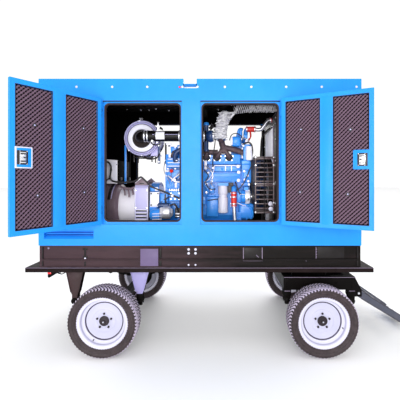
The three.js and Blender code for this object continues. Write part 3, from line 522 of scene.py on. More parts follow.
    def dome(self, at, normal, radius, height, mat=0, sides=20):
        """A rivet's or button's round head."""
        matrix = facing(at, normal)
        arc = [(radius * math.cos(t * math.pi / 10), height * math.sin(t * math.pi / 10)) for t in range(6)]
        arc[-1] = (0, height)
        return self.lathe([(0, -0.5), (radius, -0.5), *arc], sides, mat, matrix)

    def clamp(self, at, direction, radius, width=9, mat=0):
        """A worm-drive hose clamp: a band with its screw housing."""
        matrix = facing(at, direction)
        half = width / 2
        self.lathe([(radius - 1, -half), (radius + 1.6, -half), (radius + 2.2, -half + 1),
                    (radius + 2.2, half - 1), (radius + 1.6, half), (radius - 1, half)],
                   28, mat, matrix, closed=True)
        self.box((radius, radius + 7), (-9, 9), (-half, half), 1.5, mat, matrix)
        return self

    def mesh(self, name):
        """The collected solids as a mesh in the row frame; the part is used up."""
        made = bpy.data.meshes.new(name)
        self.bm.to_mesh(made)
        self.bm.free()
        made.transform(self.place)
        made.transform(TO_ROW)
        return made

    def done(self, name, body, mats, replaces=(), angle=SHARP):
        """Shows the part as a finished piece on a body."""
        obj = show(name, self.mesh(name), body, mats, replaces, angle)
        if self.mirrored:
            obj.data.flip_normals()
        return obj


def linked(name, mesh, mats, angle=SHARP):
    """An object in the scene with its materials and its sharp edges."""
    for mat in mats:
        mesh.materials.append(mat)
    mesh.set_sharp_from_angle(angle=math.radians(angle))
    obj = bpy.data.objects.new(name, mesh)
    bpy.context.scene.collection.objects.link(obj)
    return obj


def show(name, mesh, body, mats, replaces=(), angle=SHARP):
    """Puts a finished mesh on a body; it may stand in for CAD nodes."""
    obj = linked(name, mesh, mats, angle)
    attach(obj, body)
    if replaces:
        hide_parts(*replaces)
    return obj


def dress(name, mat, width=0.0015, segments=2, angle=SHARP):
    """Gives a CAD node its material and softened edges."""
    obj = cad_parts[name]
    obj.data.materials.clear()
    obj.data.materials.append(mat)
    weld = obj.modifiers.new("weld", "WELD")
    weld.merge_threshold = 0.00005
    bevel = obj.modifiers.new("bevel", "BEVEL")
    bevel.width = width
    bevel.segments = segments
    bevel.limit_method = "ANGLE"
    bevel.angle_limit = math.radians(angle)
    bevel.harden_normals = True
    return obj


# ---------------------------------------------------------------- camera, light and floor

def set_stage():
    """Camera, soft studio lights and a pale floor."""
    scene = bpy.context.scene
    scene.view_settings.view_transform = "Standard"
    cam = bpy.data.cameras.new("camera")
    cam.lens = 29.7
    cam.sensor_width = 36
    cam.shift_x = -0.0525
    cam.shift_y = -0.05325
    cam.clip_start, cam.clip_end = 0.05, 60
    camera = bpy.data.objects.new("camera", cam)
    camera.location = TO_ROW @ Vector((182, -3440, 1472))
    camera.rotation_euler = (math.radians(90), 0, 0)
    scene.collection.objects.link(camera)
    scene.camera = camera

    world = bpy.data.worlds.new("studio")
    world.use_nodes = True
    world.node_tree.nodes["Background"].inputs["Color"].default_value = (1, 1, 1, 1)
    world.node_tree.nodes["Background"].inputs["Strength"].default_value = 1.08
    scene.world = world

    def area(name, at, target, size, power):
        light = bpy.data.lights.new(name, "AREA")
        light.shape = "RECTANGLE"
        light.size, light.size_y = size
        light.energy = power
        lamp = bpy.data.objects.new(name, light)
        lamp.location = at
        lamp.rotation_euler = (Vector(target) - Vector(at)).to_track_quat("-Z", "Y").to_euler()
        scene.collection.objects.link(lamp)

    area("key", (-0.1, -5.8, 2.3), (-0.1, 0, 1.4), (3.0, 2.0), 130)
    area("fill", (-1.6, -5.6, 0.9), (-0.1, 0, 1.7), (3.0, 1.4), 75)
    area("back", (0.5, 5.0, 3.6), (0, 0, 1.2), (4.0, 2.0), 110)

    floor = Part()
    floor.lathe([(0, -14), (60000, -14), (60000, -4), (0, -4)], 64)
    mesh = floor.mesh("floor")
    mat, tree, shader = links_of("floor")
    at = place_of(tree)
    tone = mix(tree, spread(tree, noise_of(tree, at, 0.7), 0, 1), (0.97, 0.97, 0.98), (0.985, 0.985, 0.99))
    tree.links.new(tone, shader.inputs["Base Color"])
    shader.inputs["Roughness"].default_value = 0.7
    mesh.materials.append(mat)
    ground = bpy.data.objects.new("floor", mesh)
    ground.location.z = 0.004
    scene.collection.objects.link(ground)


set_stage()


# ---------------------------------------------------------------- canopy

def rounded(xs, zs, radius, steps=5):
    """A rounded rectangle's outline in its plane."""
    corners = ((xs[1], zs[1], 0), (xs[0], zs[1], 1), (xs[0], zs[0], 2), (xs[1], zs[0], 3))
    points = []
    for x, z, quarter in corners:
        cx = x - radius if quarter in (0, 3) else x + radius
        cz = z - radius if quarter in (0, 1) else z + radius
        for i in range(steps + 1):
            t = (quarter + i / steps) * math.pi / 2
            points.append((cx + radius * math.cos(t), cz + radius * math.sin(t)))
    return points


def loop_tube(part, points, radius, sides=8, mat=0):
    """A closed ring of tube through the points, which lie in a plane of constant y."""
    closed = [Vector(p) for p in points]
    count = len(closed)
    piece = bmesh.new()
    rings = []
    for i, p in enumerate(closed):
        along = (closed[(i + 1) % count] - closed[i - 1]).normalized()
        side = along.cross(Vector((0, 1, 0))).normalized()
        ring = []
        for k in range(sides):
            t = 2 * math.pi * k / sides
            rise = Vector((0, radius * math.sin(t), 0))
            ring.append(piece.verts.new(p + side * radius * math.cos(t) + rise))
        rings.append(ring)
    for i in range(count):
        a, b = rings[i], rings[(i + 1) % count]
        for k in range(sides):
            n = (k + 1) % sides
            piece.faces.new((a[k], a[n], b[n], b[k]))
    bmesh.ops.recalc_face_normals(piece, faces=piece.faces)
    part.take(piece, mat)


FURROWS = 0.22  # how far the hollows of the doors' foam run together


def foam_sheet(across, up, pitch, tip, base, cell, lean=0.5):
    """Foam with a lattice of hollows, pitch apart, which run together into furrows as lean leaves a half.

    across and up are its two spans; it rises along +z.
    """
    columns = max(2, int((across[1] - across[0]) / cell))
    rows = max(2, int((up[1] - up[0]) / cell))
    verts, faces, tips = [], [], []
    for j in range(rows + 1):
        v = up[0] + (up[1] - up[0]) * j / rows
        for i in range(columns + 1):
            u = across[0] + (across[1] - across[0]) * i / columns
            wave = (lean * math.cos(math.pi * (u - v) / pitch)
                    + (1 - lean) * math.cos(math.pi * (u + v) / pitch))
            rise = 1 - max(0.0, wave) ** 1.3 * 1.25
            edge = min(u - across[0], across[1] - u, v - up[0], up[1] - v)
            fall = min(1.0, max(0.0, edge / 7.0))
            height = base * (0.55 + 0.45 * fall) + tip * rise * fall
            verts.append((u, v, height))
            tips.append(max(0.0, rise) * fall)
    for j in range(rows):
        for i in range(columns):
            a = j * (columns + 1) + i
            faces.append((a, a + 1, a + columns + 2, a + columns + 1))
    # a skirt and a back close the sheet
    rim = ([j * (columns + 1) for j in range(rows, -1, -1)] + list(range(1, columns + 1))
           + [j * (columns + 1) + columns for j in range(1, rows + 1)]
           + [rows * (columns + 1) + i for i in range(columns - 1, 0, -1)])
    start = len(verts)
    for k in rim:
        verts.append((verts[k][0], verts[k][1], 0))
        tips.append(0.0)
    count = len(rim)
    for k in range(count):
        n = (k + 1) % count
        faces.append((rim[n], rim[k], start + k, start + n))
    faces.append([start + k for k in range(count)][::-1])
    mesh = bpy.data.meshes.new("foam")
    mesh.from_pydata(verts, [], faces)
    # the foam material paints these tips lighter, as highlight
    layer = mesh.attributes.new("tip", "FLOAT", "POINT")
    layer.data.foreach_set("value", tips)
    mesh.polygons.foreach_set("use_smooth", [True] * len(mesh.polygons))
    return mesh


def canopy_edges():
    """Rivets, the doorways' seals, a black strip painted as the shadow along the top of each doorway's
    recess, and the lugs the doors hang from.
    """
    rivets = Part()
    seals = Part()
    shadow_strips = Part()
    hinges = Part()
    for _, hand in SIDES:
        wall = hand * WALL_Y
        out = (0, hand, 0)
        for x in (-1070, -761, -457, -152, -22, 216, 445, 747, 1055, 1356):
            rivets.lathe([(0, -1), (10.5, -1), (10.5, 1), (8.5, 3.6), (5, 4.4), (0, 4.6)], 20, 0,
                         facing((x, wall, 2268), out))
        rivets.dome((-176, wall, 2266), out, 9, 5, 1)
        for _, low, high, hinge_x, direction, _ in BAYS:
            corner = 35
            line = rounded((low, high), (1101, 2124), corner, 6)
            ring = [(x, wall - hand * 12, z) for x, z in line]
            loop_tube(seals, ring, 6.5, 8)
            for depth, thick in ((26, 4.5), (36, 6.5)):
                inner = [(x, wall - hand * depth, z)
                         for x, z in rounded((low + 1, high - 1), (1102, 2123), corner, 6)]
                loop_tube(seals, inner, thick, 6)
            # a black strip along the recess's top edge: painted shadow
            shadow_strips.box((low - 15, high + 15), (wall - hand * 10, wall + hand * 1.5), (2141, 2149), 1)
            for z in KNUCKLES:
                centre = DOOR_Z + z
                for end in (-1, 1):
                    hinges.rod((hinge_x, wall + hand * 24, centre + end * 30),
                               (hinge_x, wall + hand * 24, centre + end * 33.5), 7, 16, 1)
                    leaf = sorted((hinge_x - direction * 13, hinge_x + direction * 8))
                    hinges.box(leaf, (wall, wall + hand * 2.5), (centre + end * 15, centre + end * 33), 0.8)
                    hinges.dome((hinge_x, wall + hand * 2.5, centre + end * 24), out, 4, 2)
    rivets.done("canopy_rivets", "trailer", [WHITE, RED])
    seals.done("doorway_seals", "trailer", [SEAL])
    shadow_strips.done("doorway_shadow_strips", "trailer", [BLACK])
    hinges.done("hinge_lugs", "trailer", [BLUE])


def canopy_linings():
    """Foam on the walls and under the roof, and the pins that hold it."""
    linings = Part()
    roof_under = 2299
    inside, end, floor, thick = 538, 1358, 896, 22
    across = (-515, 515)
    for low, high in ((-end, -174), (2, end)):
        linings.box((low, high), (-inside, inside), (roof_under - thick, roof_under - 0.5), 4)
    for hand in (-1, 1):
        inner = hand * 539.5
        depth = hand * 517
        linings.box((-end, -831), (inner, depth), (floor, 2276), 4)
        linings.box((-169, 14), (inner, depth), (floor, 2196), 4)
        linings.box((683, end), (inner, depth), (floor, 2276), 4)
        for low, high in ((-831, -174), (14, 683)):
            linings.box((low, high), (inner, depth), (2127, 2276), 4)
            linings.box((low, high), (inner, depth), (floor, 1098), 4)
    linings.box((-end, thick - end), across, (1370, 1480), 4)
    linings.box((-end, thick - end), across, (1980, 2270), 4)
    for ys in ((-515, -275), (275, 515)):
        linings.box((-end, thick - end), ys, (1370, 2270), 4)
    for low, high in ((-196, -174), (2, 24)):
        linings.box((low, high), (-inside, inside), (2206, roof_under - 1), 4)
    linings.box((-196, 24), (-inside, inside), (2195, 2216), 4)
    linings.box((end - thick, end), across, (2020, 2110), 4)
    linings.box((end - thick, end), across, (floor, 1060), 4)
    linings.done("acoustic_lining", "trailer", [DARK_FOAM])

    for low, high in ((-1350, -182), (10, 1350)):
        mesh = foam_sheet((low, high), (-510, 510), 60, 10, 4, 10)
        mesh.transform(Matrix.Translation((0, 0, roof_under - 21)) @ Matrix.Rotation(math.pi, 4, "X"))
        mesh.transform(TO_ROW)
        ceiling = show(f"ceiling_foam_{'rear' if low < 0 else 'front'}", mesh, "trailer", [DARK_FOAM])
    pins = Part()
    for _, hand in SIDES:
        for x, y in ((-893, 335), (-740, 362), (-647, 362), (-556, 308), (-420, 380), (150, 340), (420, 360),
                     (600, 320)):
            pins.lathe([(0, 0), (13, 0), (13, 2), (5, 4), (4, 12), (0, 13)], 16, 0,
                       facing((x, hand * y, roof_under - 33), DOWN))
    for x in (-765, -790, 300):
        pins.lathe([(0, 0), (13, 0), (13, 2), (5, 4), (0, 9)], 16, 0, facing((x, 517, 2194), RIGHT))
    pins.done("lining_pins", "trailer", [BRIGHT])


def canopy_fittings():
    """Blades in the air inlets, and bars across the lifting recesses."""
    inlets = Part()
    for _, hand in SIDES:
        back = hand * (WALL_Y - 35)
        for i in range(3):
            z = 960 + i * 22
            inlets.prism("x", (-1346, -929), [(back, z), (back, z + 4), (back + hand * 16, z - 4),
                                             (back + hand * 16, z - 8)], 0.6)
    # the blades take the darker copy of the canopy paint, as shade in the recess
    inlets.done("inlet_blades", "trailer", [SHADED_RECESS_BLUE])

    bars = Part()
    for _, hand in SIDES:
        y = hand * (WALL_Y - 15)
        bars.rod((-143, y, 2285), (-29, y, 2285), 11.5, 24, 0)
        for x in (-142, -30):
            bars.rod((x - 3, y, 2285), (x + 3, y, 2285), 17, 24, 2)
    bars.done("lifting_bars", "trailer", [CHASSIS_DARK])


def canopy():
    for name in ("canopy_front", "canopy_rear", "canopy_roof", "canopy_right", "canopy_left"):
        dress(name, BLUE, 0.003, 3, 40)
    canopy_edges()
    canopy_linings()
    canopy_fittings()


canopy()


# ---------------------------------------------------------------- doors

def door_place(side_hand, hinge_x, direction, opened):
    """From a door's own frame (drawn closed, hinge axis at the origin) to the design frame."""
    hand = -side_hand * direction
    angle = (0 if direction > 0 else math.pi) - hand * math.radians(opened)
    place = Matrix.Translation((hinge_x, side_hand * (WALL_Y + 24), DOOR_Z)) @ Matrix.Rotation(angle, 4, "Z")
    return place, hand


def door_foam(label, place, hand, direction):
    """The two foam panels inside a door."""
    stand = Matrix.Rotation(math.pi / 2, 4, "X") @ Matrix.Diagonal((1, 1, -1, 1))
    for number, (low, high) in enumerate(DOOR_PANELS):
        mesh = foam_sheet((low + 2, high - 2), (-503, 503), 15.5, 7, 9, 3.9, 0.5 - FURROWS * direction)
        mesh.transform(place @ Matrix.Translation((0, 2.2, 0)) @ stand)
        if hand < 0:
            mesh.flip_normals()
        mesh.transform(TO_ROW)
        lining = show(f"door_foam_{label}_{number + 1}", mesh, f"door_{label}", [FOAM])


def door_trim(label, place, hand):
    """Seals round the foam and the door's edge, pins, and the strip between the panels."""
    trim = Part(place, mirrored=hand < 0)
    for low, high in DOOR_PANELS:
        ring = [(x, 20.5, z) for x, z in rounded((low + 1, high - 1), (-505, 505), 6, 3)]
        loop_tube(trim, ring, 2.6, 6)
    edge = [(x, 21.0, z) for x, z in rounded((14, 724), (-538, 538), 8, 3)]
    loop_tube(trim, edge, 1.6, 6, 1)
    for x, z in ((176, 262), (168, -258), (561, 236), (541, -268)):
        matrix = facing((x, 11, z), (0, 1, 0))
        trim.lathe([(0, 0), (5.5, 0), (6, 1.5), (5, 8), (0, 9)], 16, 2, matrix)
        trim.lathe([(5, 0), (15, 0), (15, 7.2), (10, 8), (5, 6)], 20, 3, matrix, closed=True)
    trim.box((344, 417), (19.5, 22.6), (-516, 516), 2, 1, segments=3)
    trim.done(f"door_trim_{label}", f"door_{label}", [SEAL, BLUE, GREY, RUBBER])


def door_latch(label, place, hand, bay):
    """The latch's cover on the inside of a door."""
    latch = Part(place, mirrored=hand < 0)
    latch.box((582, 696), (18, 22.8), (-73, 73), 1.2, 0)
    for xs, top, zs in (((580, 670), 25.5, (67, 75)), ((580, 670), 25.5, (-75, -67)),
                        ((580, 587), 25.5, (-75, 75)), ((668, 697), 23.4, (66, 75)),
                        ((668, 697), 23.4, (-75, -66)), ((684, 697), 23.2, (-75, 75))):
        latch.box(xs, (20, top), zs, 1.5, 1)
    latch.box((610, 684), (20, 23.6), (-50, 50), 1.5, 4)
    latch.box((610, 670), (21, 26), (-50, 50), 2.5, 4)
    latch.box((624, 667), (25, 30), (-38, 38), 3, 3)
    for z in (-26, 0, 26):
        latch.box((627, 663), (29, 32), (z - 5, z + 5), 1.5, 4)
    latch.rod((646, 29, 14), (646, 36, 14), 9, 24, 1.5, 3)
    latch.box((642, 669), (31, 34), (-4, 4), 1, 3)
    for x in (617, 664):
        for z in (-44, 44):
            latch.dome((x, 26, z), (0, 1, 0), 3.4, 1.8, 3, 12)
    latch.done(f"door_latch_{label}", f"door_{label}",
               [BLUE, WHITE if bay == "rear" else BLUE, GREY, BRIGHT, BLACK])


def door_hinges(label, place, hand):
    """Screw heads and leaves of a door's hinges."""
    knuckles = Part(place, mirrored=hand < 0)
    for z in KNUCKLES:
        for x, dz in ((8, -8), (17, 8)):
            knuckles.dome((x, -8.2, z + dz), (0, -1, 0), 3, 1.4, 0, 10)
        knuckles.box((26, 60), (-5.6, -3.6), (z - 15, z + 15), 0.8, 0)
    knuckles.done(f"door_hinge_leaves_{label}", f"door_{label}", [BLUE])


def door_handle(label, place, hand):
    """The paddle handle on the outside, and the bezel round it."""
    paddle = Part(place, mirrored=hand < 0)
    paddle.box((607, 671), (-3, 1.5), (-45, 45), 2.5, 0, segments=3)
    paddle.box((609, 669), (0, 8), (-45, -37), 1.5, 0)
    paddle.rod((605, 0, 38), (673, 0, 38), 3, 16, 0.5, 1)
    paddle.lathe([(0, 0), (9, 0), (9, 1.2), (7.5, 2), (0, 2)], 24, 1, facing((639, -3, 18), (0, -1, 0)))
    paddle.box((634, 644), (-5.6, -4.8), (17, 19), 0.2, 2)
    paddle.done(f"paddle_{label}", f"handle_{label}", [BLACK, BRIGHT, RUBBER],
                [f"door_handle_{label}"])

    cup = Part(place, mirrored=hand < 0)
    for xs, zs in (((597, 681), (51, 57)), ((597, 681), (-57, -51)), ((595, 601), (-57, 57)),
                   ((677, 683), (-57, 57))):
        cup.box(xs, (-6.5, -3), zs, 1, 0)
    cup.done(f"handle_bezel_{label}", f"door_{label}", [BLACK])


def doors():
    for side, side_hand in SIDES:
        for bay, _, _, hinge_x, direction, opened in BAYS:
            place, hand = door_place(side_hand, hinge_x, direction, opened)
            place = place @ Matrix.Diagonal((1, hand, 1, 1))  # y then always points into the canopy
            label = f"{side}_{bay}"
            dress(f"door_{label}", BLUE, 0.0015, 2, 40)
            door_foam(label, place, hand, direction)
            door_trim(label, place, hand)
            door_latch(label, place, hand, bay)
            door_hinges(label, place, hand)
            door_handle(label, place, hand)


doors()


# ---------------------------------------------------------------- wheels

TREAD_STEPS = 256
TREAD_R = 284  # a tyre's lugs lie past this radius
SHOULDER_R = 272  # and the notches of its shoulders past this one
LUG_DEPTH = 4.5
GROOVE_AT = 24  # a groove runs round a tyre this far to each side of its middle
GROOVE_DEPTH = 7


def lug_gap(step, height):
    """Whether a step round the tyre falls between two lugs, whose rows lean into a V."""
    return (step + round(abs(height) / 9)) % 4 < 2


def tread(angle, radius, height):
    """Cuts leaning gaps between the lugs of a tyre, notches its shoulders and cuts two grooves round it."""
    step = round(angle * TREAD_STEPS / (2 * math.pi))
    if radius > SHOULDER_R and abs(height) > 70:
        return radius - (LUG_DEPTH if step % 4 < 2 else 0), height
    if radius > TREAD_R:
        if abs(abs(height) - GROOVE_AT) < 3:
            return radius - GROOVE_DEPTH, height
        if lug_gap(step, height):
            return radius - LUG_DEPTH, height
    return radius, height


def tyre_profile():
    """Half the outline of a tyre's side, the lugs' crown, and the other side."""
    side = [(200, 60), (208, 66), (214, 71), (215, 74.5), (219, 76), (221, 75), (230, 84.5), (237, 88),
            (239, 92), (243, 93.5), (245, 91), (252, 94), (259, 94.4), (261, 90.5), (264, 90), (266, 92.4),
            (270, 90), (276, 85.5), (281, 80), (283.5, 75)]
    rows = [-72 + 4 * i for i in range(37)]
    ribs = [(287.6 - 0.00045 * h * h, h) for h in rows]
    low = [(r, -h) for r, h in side]
    return [*low, *ribs, *reversed(side)]


def rim_profile():
    """The dished steel wheel from its middle out over the lip and back behind the disc."""
    front = [(0, 18), (60, 18), (62, 20.5), (92, 20.5), (96, 17.5), (140, 15), (151, 17), (157, 22),
             (158, 15), (160.5, 15), (162, 24), (172, 30), (182, 40), (187, 52), (189, 60), (196, 64.5),
             (204, 66), (208, 70), (210, 74), (206, 75.5), (203, 72), (194, 69), (190, 66)]
    back = [(186.5, 60), (184, 40), (184, -63), (190, -67), (204, -70), (207, -75), (204, -76), (196, -73),
            (181, -69), (181, 18), (168, 14), (150, 7), (60, 6), (0, 6)]
    return front + back


def wheels():
    """Tyres and dished steel wheels with their nuts and valves."""
    for side, hand in SIDES:
        for end, axle_x, _, _ in AXLES:
            place = facing((axle_x, hand * WHEEL_Y, WHEEL_R), (0, hand, 0))
            body = f"wheel_{side}_{end}"
            rubber_part = Part(place)
            rubber_part.lathe(tyre_profile(), TREAD_STEPS, 0, closed=True, wave=tread)
            # faces between the lugs and in the grooves get the near-black rubber as painted shade, the lugs'
            # tops the pale rubber as painted highlight
            for face in rubber_part.bm.faces:
                middle = face.calc_center_median()
                radius = math.hypot(middle.x, middle.y)
                step = int(math.atan2(middle.y, middle.x) % (2 * math.pi) * TREAD_STEPS / (2 * math.pi))
                height = abs(middle.z)
                if height < 71:
                    face.material_index = 1 if lug_gap(step, height) or abs(height - GROOVE_AT) < 5 else 2
                elif radius > 274:
                    face.material_index = 1 if step % 4 < 2 else 2
            rubber_part.done(f"road_tyre_{side}_{end}", body, [TYRE, SHADED_GROOVE, LIT_TREAD],
                             [f"tyre_{side}_{end}"], 24)

            steel = Part(place)
            steel.lathe(rim_profile(), 72, 0)
            # the disc takes a darker copy of the white paint as painted shade
            for face in steel.bm.faces:
                middle = face.calc_center_median()
                if math.hypot(middle.x, middle.y) < 150 and middle.z > 12:
                    face.material_index = 5
            # a dark ring in the groove round the disc and a darker ring on the flank, both painted shade
            steel.lathe([(150, 14), (158.5, 14), (158.5, 21.5), (156, 22.4), (151, 18.5)], 72, 3, closed=True)
            steel.lathe([(183, 38), (187.5, 46), (189.5, 56), (187, 58), (181, 42)], 72, 4, closed=True)
            steel.lathe([(0, 17), (41, 17), (41, 27), (38.5, 31), (30, 32), (28, 35), (17, 36.5), (15, 42),
                         (10, 46), (0, 47)], 36, 1)
            steel.lathe([(0, 44), (7, 44), (7, 50), (5, 52), (0, 52)], 6, 2)
            for i in range(5):
                angle = math.radians(90 + 72 * i)
                at = (61 * math.cos(angle), 61 * math.sin(angle), 19)
                spot = Matrix.Translation(at)
                steel.lathe([(0, 0), (9.5, 0), (9.5, 8), (7, 10.5), (0, 10.5)], 6, 1, spot)
                steel.lathe([(0, 9), (3.2, 9), (3.2, 14), (2.5, 15), (0, 15)], 12, 1, spot)
            turn = math.radians(-119 if end == "rear" else -18) * -hand
            valve = (172 * math.cos(turn), 172 * math.sin(turn))
            steel.rod((*valve, 26), (*valve, 46), 4.2, 12, 1, 1)
            steel.done(f"road_wheel_{side}_{end}", body, [WHITE, HUB, STEEL, RIM_GROOVE_SHADE, RIM_SHADE, RIM_DISC_SHADE],
                       [f"rim_{side}_{end}"], 30)


wheels()


# ---------------------------------------------------------------- springs and axles

SPRING_SEAT = 318.5
SPRING_THICK = 34
SPRING_RISE = 60.5  # of a main leaf, from the seat to its eye
SPRING_TAPER = 24
LEAF = 7.6


def spring_top(share):
    """Height of the top of a spring at a share of its reach."""
    return SPRING_SEAT + share * share * SPRING_RISE + SPRING_THICK - SPRING_TAPER * share


def spring_line(reach, reach_share, drop, steps=10):
    """Points along a leaf from its seat to a share of its reach: (x, upper z)."""
    shares = [reach_share * i / steps for i in range(steps + 1)]
    return [(reach * t, spring_top(t) - drop) for t in shares]


def leaf_springs():
    """Four-leaf springs between the frame and their axle."""
    for side, hand in SIDES:
        for end, axle_x, rear, front in AXLES:
            name = f"leaf_spring_{side}_{end}"
            part = Part(Matrix.Translation((axle_x, hand * HANGER_Y, 0)))
            for number, share in enumerate((1.0, 0.74, 0.44, 0.2)):
                drop = number * (LEAF + 0.7)
                line = list(reversed(spring_line(rear, share, drop)))[:-1] + spring_line(front, share, drop)
                outline = line + [(x, z - LEAF) for x, z in reversed(line)]
                part.prism("y", (-22, 22), outline, 0.8, 0)
            for x in (rear, front):
                ring = facing((x, 22, EYE_Z), RIGHT)
                part.lathe([(10, 0), (15, 0), (16, 1), (16, 43), (15, 44), (10, 44)], 24, 0, ring,
                           closed=True)
                part.lathe([(8.4, -1), (10, -1), (10, 45), (8.4, 45)], 20, 1, ring, closed=True)
            for share in (-0.55, 0.55):
                reach = rear if share < 0 else front
                x = reach * abs(share)
                top = spring_top(abs(share))
                # the clip that holds the leaves together
                for ys, zs in (((-25, -22.4), (top - 19, top + 3)), ((22.4, 25), (top - 19, top + 3)),
                               ((-25, 25), (top + 0.5, top + 3.5)), ((-25, 25), (top - 21, top - 18))):
                    part.box((x - 9, x + 9), ys, zs, 0.8, 0)
            obj = linked(f"leaf_pack_{side}_{end}", part.mesh(name), (CHASSIS_DARK, RUBBER))
            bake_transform(obj)
            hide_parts(name)


def axle_fittings():
    """Spring pads, U-bolts, brake plates and the hose along each axle."""
    for end, axle_x, _, _ in AXLES:
        dress(f"{end}_axle", CHASSIS_DARK, 0.003, 2)
        part = Part()
        for _, hand in SIDES:
            y = hand * HANGER_Y
            part.box((axle_x - 52, axle_x + 52), (y - 34, y + 34), (246, 257.5), 2, 0)
            part.box((axle_x - 50, axle_x + 50), (y - 30, y + 30), (353, 361), 2, 0)
            for dx in (-36, 36):
                x = axle_x + dx
                bend = [(x, y - 27, 238), (x, y - 27, 300), (x, y - 27, 356), (x, y - 20, 366),
                        (x, y + 20, 366), (x, y + 27, 356), (x, y + 27, 300), (x, y + 27, 238)]
                part.tube(bend, 5.5, 10, 4, 0)
                for dy in (-27, 27):
                    part.bolt((x, y + dy, 246), DOWN, 9, 1)
            # the drum's back plate, its bolts and the brake lever
            part.lathe([(46, 0), (118, 0), (121, 3), (121, 7), (118, 9), (46, 9)], 48, 0,
                       facing((axle_x, hand * 588, WHEEL_R), (0, -hand, 0)), closed=True)
            for i in range(6):
                t = math.radians(60 * i + 15)
                part.bolt((axle_x + 66 * math.cos(t), hand * 579.5, WHEEL_R + 66 * math.sin(t)),
                          (0, -hand, 0), 6, 1)
            part.box((axle_x + 52, axle_x + 92), (hand * 566, hand * 572), (330, 342), 2, 0)
            for k in range(4):
                ring_at = hand * (597 + 9 * k)
                part.lathe([(119, -1.4), (121.6, -1.4), (121.6, 1.4), (119, 1.4)], 48, 0,
                           facing((axle_x, ring_at, WHEEL_R), LEFT), closed=True)
        part.tube([(axle_x - 34, -500, 300), (axle_x - 36, -250, 304), (axle_x - 34, 0, 300),
                   (axle_x - 36, 250, 304), (axle_x - 34, 500, 300)], 4.5, 8, 6, 2)
        for y in (-420, -210, 0, 210, 420):
            part.box((axle_x - 40, axle_x - 29), (y - 7, y + 7), (294, 310), 1.5, 1)
        part.done(f"axle_fittings_{end}", f"{end}_axle", [CHASSIS_DARK, STEEL, RUBBER])


leaf_springs()
axle_fittings()


# ---------------------------------------------------------------- base, trailer and running gear

def hanger_outline(x, top, top_half, knee):
    """Outline of a spring hanger, wide at its top and narrow at its eye."""
    foot, low = 24, EYE_Z - 20
    return [(x - top_half, top), (x - 35, knee), (x - foot, knee - 26), (x - foot, low),
            (x + foot, low), (x + foot, knee - 26), (x + 35, knee), (x + top_half, top)]


TRAILER_REAR, TRAILER_FRONT = -1516, 1505


